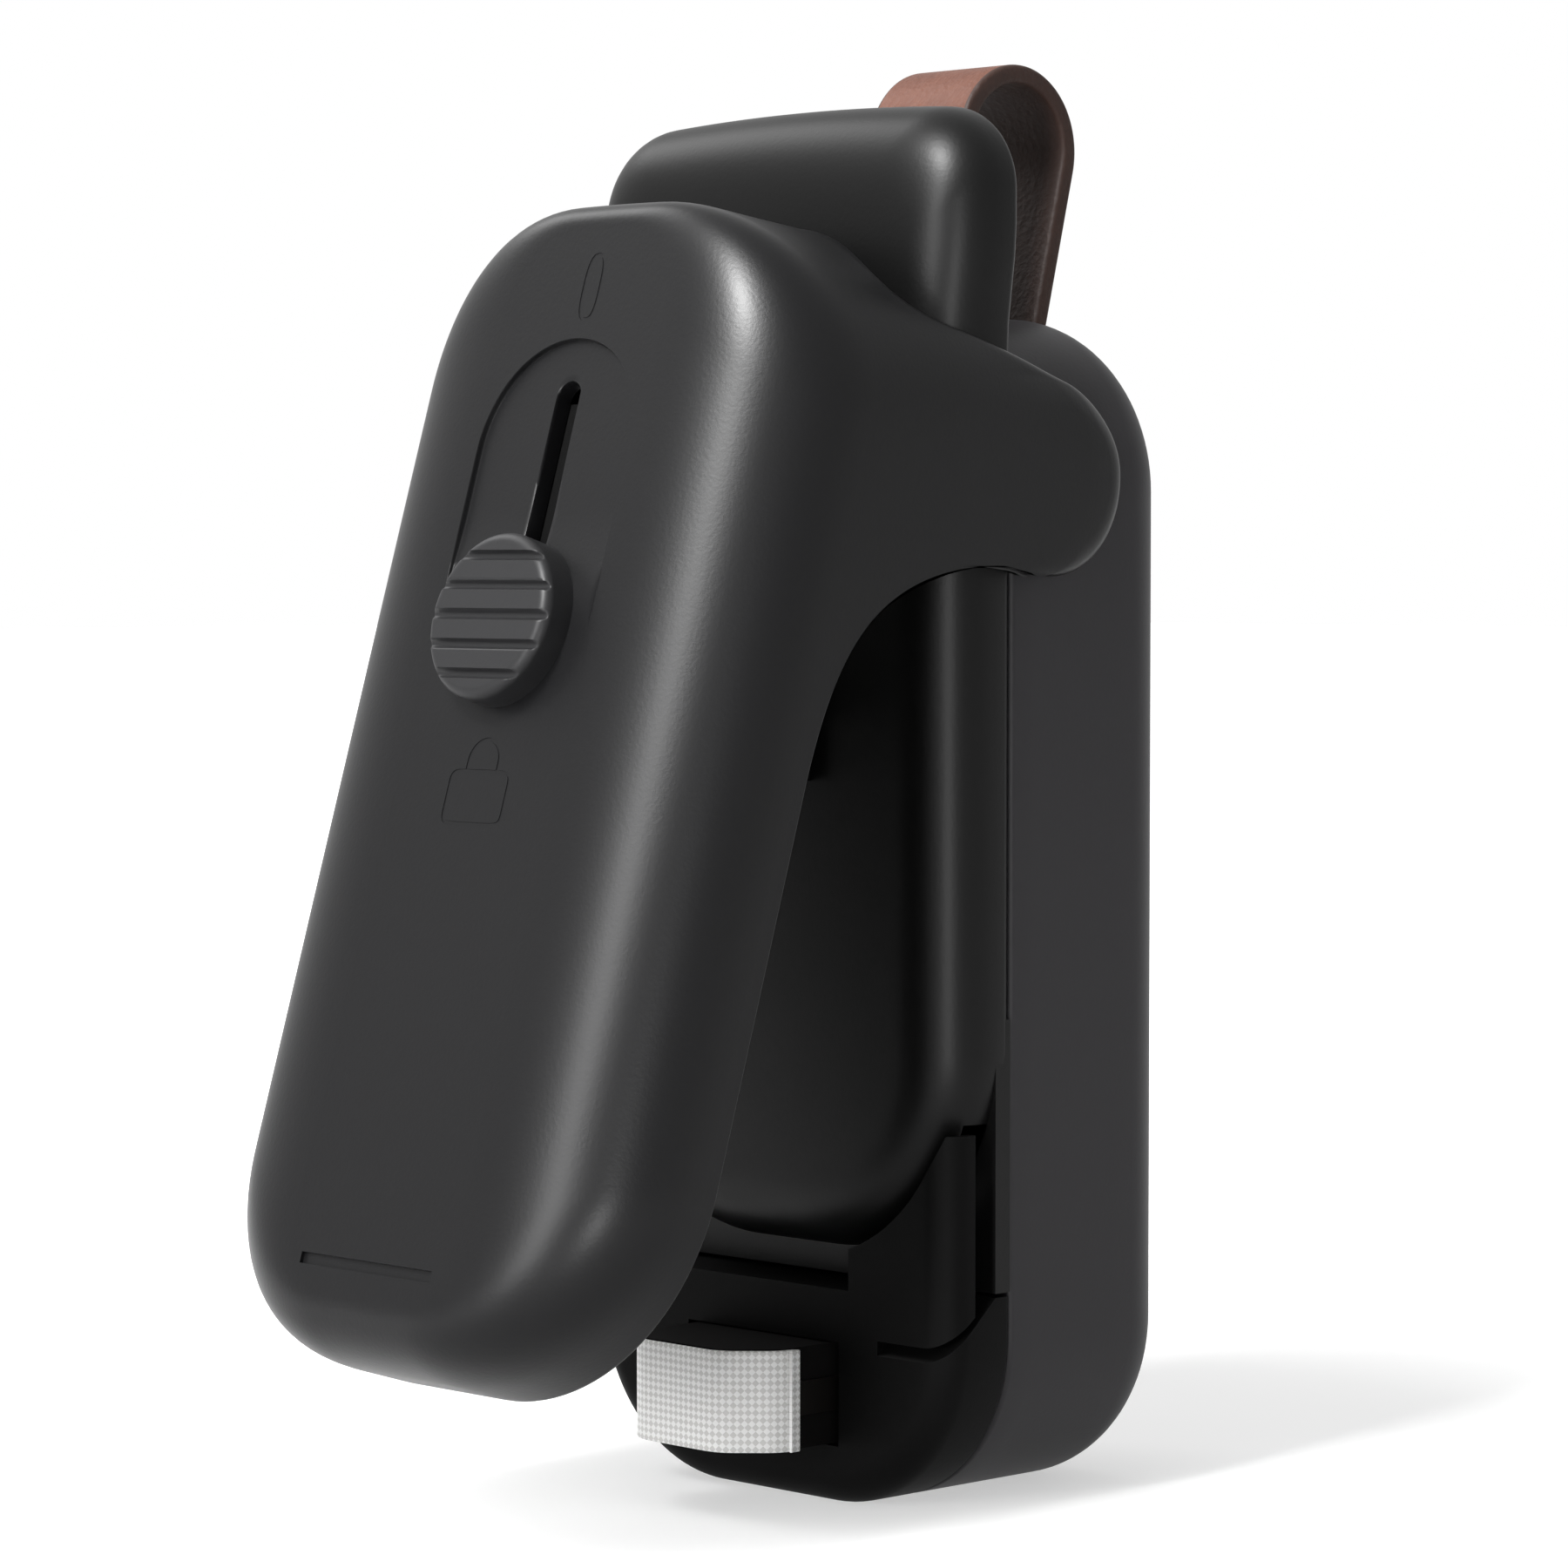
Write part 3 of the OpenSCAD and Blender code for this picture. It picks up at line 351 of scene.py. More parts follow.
# rear housing: a tub, from the outer back over the side to the seam and back along the inside
def buildRear(h, d, n):
    outer = outlineShape(h["half"], 0, h["rearHigh"], h["corner"], h["corner"], h["flatArch"])
    wall, flat = h["wall"], h["backRound"] + h["backFlat"]
    backEdge = roundEdge(h["back"], h["backRound"], 1, 16)
    seamEdge = roundEdge(h["seam"], h["seamRound"], -1, 6)
    flank = np.linspace(h["back"] - h["backRound"], h["seam"] + h["seamRound"], 7)[1:-1]
    innerEdge = roundEdge(h["back"] - wall, h["backRound"] - wall, 1, 8, wall)
    stations = [(h["back"], flat)] + backEdge[::-1] + [(y, 0.0) for y in flank] + seamEdge
    stations += [(h["seam"], wall)] + innerEdge + [(h["back"] - wall, flat)]
    piece = makeMesh("rearHousing", [stack(bodyRings(outer, stations))])
    window, outside = d["half"] + d["fit"], h["back"] + past
    cuts = [boxPart([-window, h["back"] - wall - d["seat"], d["low"] - d["fit"]],
                    [window, outside, d["high"] + d["fit"]]),
            boxPart([-n["half"], n["front"], n["low"]], [n["half"], outside, h["rearHigh"] + past])]
    for x, z in h["screws"]:
        for side in (-1, 1):
            cuts.append(rodPart(side * x, z, h["headR"] + h["headFit"], h["back"] - wall - past, outside, 40))
    shapeWith(piece, cuts)
    dress(piece, absCharcoal, "housing", "black_abs", "rear_housing")
    return outer, backEdge


rearOutline, rearBackEdge = buildRear(housing, door, notch)
print("rear housing built")

bay = {
    "wall": 1.2, "wellR": 3.0, "wellFront": 0.3, "wellBack": 1.5, "bulkheads": (13.0, 70.9), "half": 17.4,
    "front": 1.5, "back": 15.4,
}


# parts of the rear housing behind its skin: notch walls, screw wells and the battery bay's bulkheads
def buildRearInside(h, n, b):
    t = b["wall"]
    half, front, low = n["half"], n["front"], n["low"]
    back, top = h["back"] - t, h["rearHigh"] - t
    corner = [-half - t, front - t, low - t]
    parts = [boxPart(corner, [half + t, back, low]), boxPart(corner, [half + t, front, top]),
             boxPart(corner, [-half, back, top]), boxPart([half, front - t, low - t], [half + t, back, top])]
    wellFront, wellBack = h["seam"] + b["wellFront"], h["back"] - h["headSink"] - b["wellBack"]
    for x, z in h["screws"]:
        for side in (-1, 1):
            parts.append(rodPart(side * x, z, b["wellR"], wellFront, wellBack, 32))
    for z in b["bulkheads"]:
        parts.append(boxPart([-b["half"], b["front"], z], [b["half"], b["back"], z + t]))
    piece = makeMesh("rearInside", parts)
    dress(piece, absInnerAndShade, "housing", "black_abs")


buildRearInside(housing, notch, bay)
print("rear housing's inside built")


# battery door: the same outer surface, trimmed to the door's window, with shallow finger grooves
def buildDoor(h, d):
    back = h["back"]
    stations = [(back, h["backRound"] + h["backFlat"])] + rearBackEdge[::-1] + [(back - d["deep"], 0)]
    piece = makeMesh("batteryDoor", [stack(bodyRings(rearOutline, stations))])
    plate = boxPart([-d["half"], back - h["wall"], d["low"]], [d["half"], back + past, d["high"]])
    shapeWith(piece, [plate], "INTERSECT")
    grooves = []
    for i in range(d["grooves"]):
        low = d["low"] + d["grooveLow"] + d["groovePitch"] * i
        grooves.append(boxPart([-d["grooveHalf"], back - d["grooveDeep"], low],
                               [d["grooveHalf"], back + past, low + d["grooveTall"]]))
    shapeWith(piece, grooves)
    dress(piece, absCharcoal, "door", "black_abs", "battery_door")


buildDoor(housing, door)
print("battery door built")

front = {
    "cutterIn": 8.0, "cutterFront": -4.6, "cutterBack": -2.5, "cutterTop": 28.5, "cutterUnder": 2.0,
    "rimLow": 16.3, "rimHigh": 36.0, "rimIn": 0.02, "plungerX": -8.0, "plungerZ": 36.5, "plungerR": 2.05,
    "plungerDeep": 2.5, "springX": (-1.9, -0.1), "springZ": (76.6, 84.0), "springDeep": 3.0,
    "topBackRound": 0.7, "backIn": 2.5, "faceInset": (5.0, 6.4), "faceR": 3.6, "faceMiddle": (0.95, 0.98),
    "topDeeper": 0.6, "soft": 0.9, "capWider": 0.045, "capFrom": (84.0, 93.0),
}


# smooth step from 0 at a to 1 at b
def ease(value, a, b):
    t = np.clip((value - a) / (b - a), 0, 1)
    return t * t * (3 - 2 * t)


# front housing: one rounded body with the raised cap, then the cutter slot and the small openings are cut
def buildFront(h, f):
    outline = outlineShape(h["half"], h["frontLow"], h["capHigh"], h["capR"], h["frontCorner"], h["capArch"])
    side, top = f["faceInset"]
    face = outlineShape(h["half"] - side, h["frontLow"] + side, h["capHigh"] - top, f["faceR"],
                        h["frontCorner"] - side, h["capArch"] - top)
    steps = outlineSteps(outline)
    x, z, nx, nz = outlineAt(outline, steps)
    fx, fz, _, _ = outlineAt(face, np.interp(steps, outline["ends"], face["ends"]))
    d = h["frontRound"] + f["topDeeper"] * np.where(nz > 0, nz ** 2, 0)
    middle = (fz.min() + fz.max()) / 2
    shareX, shareZ = f["faceMiddle"]
    rings = [np.stack([fx * shareX, np.full_like(x, h["face"]), middle + (fz - middle) * shareZ], -1)]
    for t in np.linspace(0, np.pi / 2, 18):
        inset = 1 - np.sin(t) ** f["soft"]
        y = h["face"] + d - d * np.cos(t) ** f["soft"]
        rings.append(np.stack([x + (fx - x) * inset, y, z + (fz - z) * inset], -1))
    for y, inset in roundEdge(h["seam"], f["topBackRound"], 1, 7) + [(h["seam"], f["backIn"])]:
        rings.append(np.stack([x - nx * inset, np.full_like(x, y), z - nz * inset], -1))
    whole = mirrored(np.stack(rings))
    whole[:, :, 0] *= 1 + f["capWider"] * ease(whole[:, :, 2], *f["capFrom"])
    piece = makeMesh("frontHousing", [stack(whole)])
    ahead = h["face"] - past
    springLeft, springRight = f["springX"]
    springLow, springHigh = f["springZ"]
    cuts = [boxPart([f["cutterIn"], f["cutterFront"], h["frontLow"] - f["cutterUnder"]],
                    [h["half"] + past, f["cutterBack"], f["cutterTop"]]),
            rodPart(f["plungerX"], f["plungerZ"], f["plungerR"], ahead, h["face"] + f["plungerDeep"], 40),
            boxPart([springLeft, ahead, springLow], [springRight, h["face"] + f["springDeep"], springHigh])]
    shapeWith(piece, cuts)
    # painted shade: the front housing and its rim take the darkened copy of the black ABS
    dress(piece, absFrontShaded, "housing", "black_abs", "front_housing")
    rimHalf = h["half"] - f["rimIn"]
    rim = boxPart([-rimHalf, f["cutterBack"], f["rimLow"]], [rimHalf, h["seam"], f["rimHigh"]])
    rimPiece = makeMesh("frontRim", [rim])
    dress(rimPiece, absFrontShaded, "housing", "black_abs")


buildFront(housing, front)
print("front housing built")

# beyond: sides, front, back and top of the boxes that cut the block down, well outside it
block = {
    "windowHalf": 8.0, "windowLow": 4.48, "windowHigh": 12.12, "windowDeep": -4.5, "guardIn": 9.0, "gap": 0.3,
    "guardTop": 27.9, "slitIn": 12.0, "slitTall": 1.2, "slitFrontZ": 10.7, "round": 2.4, "faceFlat": 0.5,
    "backRound": 0.4, "backIn": 2.5, "grownY": (-12.0, 4.0), "beyond": (30.0, -20.0, 10.0, 60.0),
}


# heater block: the foot of the same rounded body; the guard in front of the cutter rises on the right, up to
# the front housing's corner, a slanted slit leads film under it to the blade, and a window lets the jaw out
def buildBlock(h, f, b):
    high, corner = h["blockHigh"], h["corner"]
    outline = outlineShape(h["half"], 0, 2 * corner + high, corner, corner, h["flatArch"])
    faceEdge = roundEdge(h["face"], b["round"], -1, 16)
    backEdge = roundEdge(h["seam"], b["backRound"], 1, 5)
    stations = [(h["face"], b["round"] + b["faceFlat"])] + faceEdge[::-1]
    stations += backEdge + [(h["seam"], b["backIn"])]
    piece = makeMesh("heaterBlock", [stack(bodyRings(outline, stations))])
    gap, ahead = b["gap"], h["face"] - past
    grown = outlineShape(h["half"] + gap, h["frontLow"] - gap, h["capHigh"], h["capR"],
                         h["frontCorner"] + gap, h["capArch"])
    slit = np.array([[ahead, b["slitFrontZ"]], [f["cutterBack"], high], [f["cutterBack"], high + past],
                     [f["cutterFront"], high + past], [f["cutterFront"], high - b["slitTall"]],
                     [ahead, b["slitFrontZ"] + b["slitTall"]]])
    slitEnds = [np.insert(slit, 0, x, axis=1) for x in (b["slitIn"], h["half"] + past)]
    farSide, farFront, farBack, farTop = b["beyond"]
    cuts = [boxPart([-farSide, farFront, high], [b["guardIn"], farBack, farTop]),
            boxPart([0, f["cutterFront"], high], [farSide, farBack, farTop]),
            boxPart([0, farFront, b["guardTop"]], [farSide, farBack, farTop]),
            stack(bodyRings(grown, [(y, 0) for y in b["grownY"]])), stack(np.stack(slitEnds)),
            boxPart([-b["windowHalf"], ahead, b["windowLow"]],
                    [b["windowHalf"], b["windowDeep"], b["windowHigh"]])]
    shapeWith(piece, cuts)
    # painted shade: the heater block takes the darkest, dullest black, as the lever's shadow falls on it
    dress(piece, absInnerAndShade, "housing", "black_abs", "heater_block")


buildBlock(housing, front, block)
print("heater block built")

lever = {
    "pivotY": 4.4, "pivotZ": 76.0, "tilt": 17.0, "half": 20.95, "front": -31.3, "floor": -29.5,
    "skirt": -19.9, "foot": -74.3, "top": 11.7, "footR": 16.0, "wall": 1.6,
    "crown": ((17.0, 300.0), (9.5, 70.0)),
    "turnFrom": -31.3, "turnTo": -4.0, "inset": (12.4, 5.0, 1.8), "depth": (9.8, 6.8, 2.3), "roofSlope": 0.16,
    "flatR": (6.0, 3.5), "flatArch": 60.0, "earY": -2.1, "earZ": -1.7, "earR": 7.2, "earUp": 5.5,
    "earRise": 0.6, "earInner": 19.3, "earThin": 0.5, "earBlend": 4.0, "throat": (7.0, 2.5), "stepGap": 0.3,
    "sweep": ((-19.9, -28.0), (-19.9, -13.0), (-15.3, -10.3), (-2.8, -8.9)),
    "slotR": 1.2, "slotEnds": (-22.7, -4.8), "slotEdge": ((0.0, 0.25), (0.07, 0.07), (0.25, 0.0), (0.6, 0.0)),
    "slotBack": (2.5, 0.8), "panelR": 8.0, "panelEnds": (-21.6, -8.6), "panelDeep": 0.45,
    "panelFade": (-22.0, -13.0), "panelIn": 0.7, "panelStep": (-0.04, 0.10), "panelOut": 0.3, "evenTurn": 0.4,
    "soft": 0.84, "rimRound": (0.45, 1.7), "rimFrom": (-16.0, -7.0), "rimShare": 0.7,
}
# its outline twice: with the wide top corners of the front, and with the tight ones of the ears
lever["shapes"] = [outlineShape(lever["half"], lever["foot"], lever["top"], r, lever["footR"], arch)
                   for r, arch in lever["crown"]]


# lever frame (origin on the pivot, lever upright) to the open lever's place: a turn about X and a move to the
# pivot
def openLever(points):
    a = math.radians(-lever["tilt"])
    x, y, z = np.moveaxis(np.asarray(points, float), -1, 0)
    return np.stack([x, lever["pivotY"] + y * math.cos(a) - z * math.sin(a),
                     lever["pivotZ"] + y * math.sin(a) + z * math.cos(a)], -1)


# a box between two corners in the lever frame, at the open lever's place
def leverBox(low, high):
    points, faces = boxPart(low, high)
    return openLever(points), faces


# x, z and outward normal of the lever's outline at part q and depth y; q counts the outline's parts (0 to 5),
# the top corners go from wide at the front to tight at the ears, and the roof slopes down towards the front
def leverOutline(v, q, y):
    wide, tight = v["shapes"]
    a = np.stack(outlineAt(wide, np.interp(q, np.arange(6), wide["ends"])))
    b = np.stack(outlineAt(tight, np.interp(q, np.arange(6), tight["ends"])))
    mixed = a + (b - a) * ease(y, v["turnFrom"], v["turnTo"])
    length = np.hypot(mixed[2], mixed[3])
    nx, nz = mixed[2] / length, mixed[3] / length
    drop = v["roofSlope"] * np.maximum(v["skirt"] - y, 0) * np.where(nz > 0, nz ** 2, 0)
    return mixed[0], mixed[1] - drop, nx, nz


# right half of the skirt's edge as points (q, y): along the foot, the sweep up to the ear, round its end,
# along its upper edge, the throat and over the roof; and for each the part q where its column leaves the
# fillet
def leverEdge(v):
    tight = v["shapes"][1]
    p = np.array(v["sweep"])
    t = np.linspace(0, 1, 44)[:, None]
    sweep = (1 - t) ** 3 * p[0] + 3 * t * (1 - t) ** 2 * p[1] + 3 * t ** 2 * (1 - t) * p[2] + t ** 3 * p[3]
    start = math.atan2(p[3][1] - v["earZ"], p[3][0] - v["earY"])
    a = np.linspace(start, np.pi / 2, 46)[1:]
    ear = np.stack([v["earY"] + v["earR"] * np.cos(a), v["earZ"] + v["earR"] * np.sin(a)], -1)
    deep, tall = v["throat"]
    upperY = np.linspace(v["earY"], v["skirt"] + deep, 20)[1:]
    upper = np.stack([upperY, v["earUp"] + v["earRise"] * ease(-upperY, -v["earY"], -v["skirt"] - deep)], -1)
    b = np.radians(np.linspace(-90, -180, 14))[1:]
    throat = np.stack([v["skirt"] + deep + deep * np.cos(b), upper[-1, 1] + tall + tall * np.sin(b)], -1)
    free = np.concatenate([sweep, ear, upper, throat])
    freeS = lengthAtZ(tight, free[:, 1])
    steps = outlineSteps(tight)
    before = steps[steps < freeS[0] - v["stepGap"]]
    after = steps[steps > freeS[-1] + v["stepGap"]]
    run = np.concatenate([[0], np.cumsum(np.hypot(np.diff(freeS), np.diff(free[:, 0])))])
    leave = freeS[0] + (freeS[-1] - freeS[0]) * run / run[-1]
    edgeY = np.concatenate([np.full(len(before), v["skirt"]), free[:, 0], np.full(len(after), v["skirt"])])
    edgeQ, leaveQ = (np.interp(np.concatenate([before, s, after]), tight["ends"], np.arange(6))
                     for s in (freeS, leave))
    return edgeQ, edgeY, leaveQ


# distance from a point on an upright stadium's middle line to its edge along unit (dx, dz); ends are the
# heights of the stadium's two centres above that point
def stadiumReach(dx, dz, r, ends):
    sideHit = r / np.maximum(np.abs(dx), 1e-9)
    end = np.where(dz > 0, ends[1], ends[0])
    endHit = end * dz + np.sqrt(np.maximum(r * r - (end * dx) ** 2, 0))
    return np.where((sideHit * dz <= ends[1]) & (sideHit * dz >= ends[0]), sideHit, endHit)


# lever shell: one closed surface whose rings run from the slot over the panel, the front face, the fillet and
# the side to the skirt's round edge, and back along the inside to the slot
def leverRings(v):
    edgeQ, edgeY, leave = leverEdge(v)
    _, _, nx, nz = leverOutline(v, leave, np.full_like(leave, v["front"]))
    sideDeep, footDeep, roofDeep = v["depth"]
    d = sideDeep * nx ** 2 + np.where(nz < 0, footDeep, roofDeep) * nz ** 2
    rings = []
    middle = (v["slotEnds"][0] + v["slotEnds"][1]) / 2
    side, foot, roof = v["inset"]
    faceTop = v["top"] - roof - v["roofSlope"] * (v["skirt"] - v["front"])
    face = outlineShape(v["half"] - side, v["foot"] + foot, faceTop, *v["flatR"], v["flatArch"])
    flatX, flatZ, _, _ = outlineAt(face, np.interp(leave, np.arange(6), face["ends"]))
    flat = np.stack([flatX, np.full_like(flatX, v["front"]), flatZ], -1)
    turn = np.maximum.accumulate(np.arctan2(flatZ - middle, flatX))
    turn += v["evenTurn"] * (np.linspace(turn[0], turn[-1], len(turn)) - turn)
    dx, dz = np.cos(turn), np.sin(turn)
    slot = stadiumReach(dx, dz, v["slotR"], [e - middle for e in v["slotEnds"]])
    panel = stadiumReach(dx, dz, v["panelR"], [e - middle for e in v["panelEnds"]])

    # a ring on the front face; sunk 1 is the panel's floor, which rises to the face towards the knob
    def onFace(reach, sunk, y=v["front"]):
        height = middle + dz * reach
        deep = v["panelDeep"] * ease(height, *v["panelFade"]) * sunk
        rings.append(np.stack([dx * reach, y + deep, height], -1))

    onFace(slot, 0, v["floor"])
    for reach, deep in v["slotEdge"]:
        onFace(slot + reach, 1, v["front"] + deep)
    onFace((slot + panel) / 2, 1)
    onFace(panel - v["panelIn"], 1)
    for reach in np.linspace(*v["panelStep"], 7):
        onFace(panel + reach, 1 - ease(reach, *v["panelStep"]))
    onFace(panel + v["panelOut"], 0)
    for t in (0.3, 0.65, 0.93):
        rings.append(rings[-1] + (flat - rings[-1]) * t)
    for t in np.linspace(0, np.pi / 2, 22):
        y = v["front"] + d - d * np.cos(t) ** v["soft"]
        px, pz, _, _ = leverOutline(v, leave, y)
        inset = 1 - np.sin(t) ** v["soft"]
        rings.append(np.stack([px + (flatX - px) * inset, y, pz + (flatZ - pz) * inset], -1))
    sideY = v["front"] + d
    for t in (0.12, 0.35, 0.6, 0.85):
        y = sideY + (edgeY - sideY) * t
        sx, sz, _, _ = leverOutline(v, leave + (edgeQ - leave) * t, y)
        rings.append(np.stack([sx, y, sz], -1))
    ex, ez, enx, enz = leverOutline(v, edgeQ, edgeY)
    edge = np.stack([ex, edgeY, ez], -1)
    normal = np.stack([enx, np.zeros_like(enx), enz], -1)
    along = np.gradient(edge, axis=0)
    along[0], along[-1] = [1, 0, 0], [-1, 0, 0]
    out = np.cross(normal, along)
    out /= np.linalg.norm(out, axis=1)[:, None]
    inward = rings[-1] - edge
    out *= np.where(np.sum(out * inward, 1) > 0, -1, 1)[:, None]
    thin = np.clip((ex - v["earInner"]) / np.maximum(enx, 0.2), v["earThin"], v["wall"])
    thick = (v["wall"] + (thin - v["wall"]) * ease(edgeY, v["skirt"], v["skirt"] + v["earBlend"]))[:, None]
    skirtLip, earLip = v["rimRound"]
    lip = skirtLip + (earLip - skirtLip) * ease(edgeY, *v["rimFrom"])
    lip = np.minimum(lip, v["rimShare"] * np.sum(-inward * out, 1))[:, None]
    for t in np.linspace(0, np.pi, 11):
        rings.append(edge - out * lip * (1 - np.sin(t)) - normal * thick * (1 - np.cos(t)) / 2)
    innerD = d - v["floor"] + v["front"]
    for t in (0.85, 0.5, 0.12, 0.0):
        y = v["floor"] + innerD + (edgeY - v["floor"] - innerD) * t
        sx, sz, snx, snz = leverOutline(v, leave + (edgeQ - leave) * t, y)
        w = thick[:, 0] + (v["wall"] - thick[:, 0]) * (1 - t)
        rings.append(np.stack([sx - snx * w, y, sz - snz * w], -1))
    for t in np.linspace(0, np.pi / 2, 8)[1:]:
        y = v["floor"] + innerD - innerD * np.sin(t)
        px, pz, pnx, pnz = leverOutline(v, leave, y)
        px, pz = px - pnx * v["wall"], pz - pnz * v["wall"]
        inset = 1 - np.cos(t)
        rings.append(np.stack([px + (flatX - px) * inset, y, pz + (flatZ - pz) * inset], -1))
    for reach in v["slotBack"]:
        onFace(slot + reach, 0, v["floor"])
    return mirrored(np.stack(rings))


# a thin line on the lever's face for an engraved mark: points (x, z), with a square section from y0 to y1
def markLine(path, wide, y0, y1, closed=False):
    p = np.array(path, float)
    t = np.roll(p, -1, 0) - np.roll(p, 1, 0) if closed else np.gradient(p, axis=0)
    n = np.stack([-t[:, 1], t[:, 0]], -1) / np.linalg.norm(t, axis=1)[:, None] * wide / 2
    corners = [np.insert(p + n * side, 1, y, axis=1) for side, y in ((1, y0), (-1, y0), (-1, y1), (1, y1))]
    rings = openLever(np.stack(corners, 1))
    return torus(rings) if closed else stack(rings)


mark = {
    "line": 0.26, "deep": 0.045, "lockX": 0.4, "lockZ": -34.2, "lockHalf": (3.1, 1.9), "lockPower": 0.25,
    "shackleR": 1.6, "shackleUp": 0.7, "shackleGap": 0.12, "freeX": 0.4, "freeZ": 3.3,
    "freeHalf": (0.85, 2.4), "freePower": 0.7, "barHalf": 7.0, "barZ": -67.6, "barTall": 0.8, "barDeep": 0.3,
}


# points of an oval that a power below 1 squares off; no point lies on an axis, where the power is steep
def squaredOval(halves, power, middle):
    turn = np.linspace(0, 2 * np.pi, 64, endpoint=False) + 0.01
    unit = np.stack([np.cos(turn), np.sin(turn)], -1)
    return np.sign(unit) * np.abs(unit) ** power * halves + middle


# engraved marks: a closed padlock below the knob, a plain oval above the panel, and a finger bar at the foot
def buildMarks(v, m):
    y0, y1 = v["front"] - past, v["front"] + m["deep"]
    body = squaredOval(m["lockHalf"], m["lockPower"], [m["lockX"], m["lockZ"]])
    free = squaredOval(m["freeHalf"], m["freePower"], [m["freeX"], m["freeZ"]])
    a = np.linspace(np.pi, 0, 25)
    r, gap = m["shackleR"], m["shackleGap"]
    arch = np.stack([r * np.cos(a), m["shackleUp"] + r * np.sin(a)], -1)
    shackle = np.concatenate([[[-r, gap]], arch, [[r, gap]]]) + [m["lockX"], m["lockZ"] + m["lockHalf"][1]]
    bar = leverBox([-m["barHalf"], y0, m["barZ"] - m["barTall"] / 2],
                   [m["barHalf"], v["front"] + m["barDeep"], m["barZ"] + m["barTall"] / 2])
    return [markLine(body, m["line"], y0, y1, True), markLine(shackle, m["line"], y0, y1),
            markLine(free, m["line"], y0, y1, True), bar]


leverShell = makeMesh("leverShell", [torus(openLever(leverRings(lever)))], 40)
shapeWith(leverShell, buildMarks(lever, mark), smoothAngle=40)
dress(leverShell, absBlack, "lever", "black_abs", "lever_shell")
print("lever shell built")

knob = {
    "z": -21.6, "r": 6.1, "front": -33.8, "back": -30.9, "rim": 0.8, "tip": 0.001, "thin": 0.3, "grooves": 5,
    "pitch": 2.15, "deep": 0.5, "wide": 0.34, "stem": (1.1, 1.9), "stemIn": 0.2, "stemBack": -29.3,
}


# lock knob: flat cross-sections from its foot to its top; the front is flat with a rounded rim, and
# round-bottomed grooves run across
def buildKnob(k):
    zc = k["r"] * np.sin(np.linspace(-np.pi / 2, np.pi / 2, 181))
    zc[0], zc[-1] = -k["r"] + k["tip"], k["r"] - k["tip"]
    half = np.sqrt(k["r"] ** 2 - zc ** 2)[:, None]
    b = np.linspace(-np.pi / 2, np.pi / 2, 49)[None, :]
    fx = half * np.sin(b)
    gap = np.clip(k["r"] - np.hypot(fx, zc[:, None]), 0, k["rim"])
    fy = k["front"] + k["rim"] - np.sqrt(np.maximum(k["rim"] ** 2 - (k["rim"] - gap) ** 2, 0))
    middle = (np.arange(k["grooves"]) - (k["grooves"] - 1) / 2) * k["pitch"]
    near = np.min(np.abs(zc[:, None] - middle[None, :]), 1)
    dip = k["deep"] * np.sqrt(np.maximum(1 - (near / k["wide"]) ** 2, 0))
    fy = np.maximum(fy, k["front"] + dip[:, None])
    fy = np.minimum(fy, k["back"] - k["thin"])
    frontSide = np.stack([fx, fy, np.broadcast_to(zc[:, None], fx.shape)], -1)
    backSide = frontSide[:, ::-1].copy()
    backSide[:, :, 1] = k["back"]
    rings = np.concatenate([frontSide, backSide], 1) + [0, 0, k["z"]]
    stemX, stemZ = k["stem"]
    stem = leverBox([-stemX, k["back"] - k["stemIn"], k["z"] - stemZ], [stemX, k["stemBack"], k["z"] + stemZ])
    piece = makeMesh("lockKnob", [stack(openLever(rings)), stem], 50)
    dress(piece, absKnob, "lock", "black_abs", "lock_knob")


buildKnob(knob)
print("lock knob built")

cover = {"half": 2.3, "back": -28.9, "front": -29.4, "low": -36.2, "high": -4.8}


# slot cover: a thin dark strip behind the lever's slot that slides with the knob and keeps light out
def buildCover(c):
    strip = leverBox([-c["half"], c["front"], c["low"]], [c["half"], c["back"], c["high"]])
    piece = makeMesh("slotCover", [strip])
    dress(piece, absInnerAndShade, "lock", "inner_plastic")


buildCover(cover)
print("slot cover built")

screw = {
    "housing": {"at": housing["screws"], "tip": -4.0, "seat": 14.4, "top": 16.0, "r": (1.0, 2.0)},
    "liner": {"at": ((11.85, -9.0), (11.85, -54.3)), "tip": -30.1, "seat": -26.3, "top": -25.2,
              "r": (0.9, 1.8)},
    "rim": 0.25, "cross": (0.28, 1.15), "deep": 0.75,
}


# pan-head screws: shank and head as one turned solid along Y, with a cross recess cut into each head
def buildScrews(name, s, e, body, node, place):
    a = np.linspace(0, 2 * np.pi, 40, endpoint=False)
    shank, head = s["r"]
    stations = [(s["tip"], shank), (s["seat"], shank), (s["seat"], head), (s["top"] - e["rim"], head),
                (s["top"], head - e["rim"])]
    thin, wide = e["cross"]
    solids, cuts = [], []
    for x, z in s["at"]:
        for side in (-1, 1):
            rings = np.stack([np.stack([side * x + r * np.cos(a), np.full_like(a, y), z + r * np.sin(a)], -1)
                              for y, r in stations])
            solids.append(stack(place(rings)))
            for dx, dz in ((thin, wide), (wide, thin)):
                points, faces = boxPart([side * x - dx, s["top"] - e["deep"], z - dz],
                                        [side * x + dx, s["top"] + past, z + dz])
                cuts.append((place(points), faces))
    piece = makeMesh(name, solids)
    shapeWith(piece, cuts)
    dress(piece, platedSteel, body, "steel", node)


buildScrews("housingScrews", screw["housing"], screw, "housing", "housing_screws", np.asarray)
buildScrews("linerScrews", screw["liner"], screw, "lever", "liner_screws", openLever)
print("screws built")


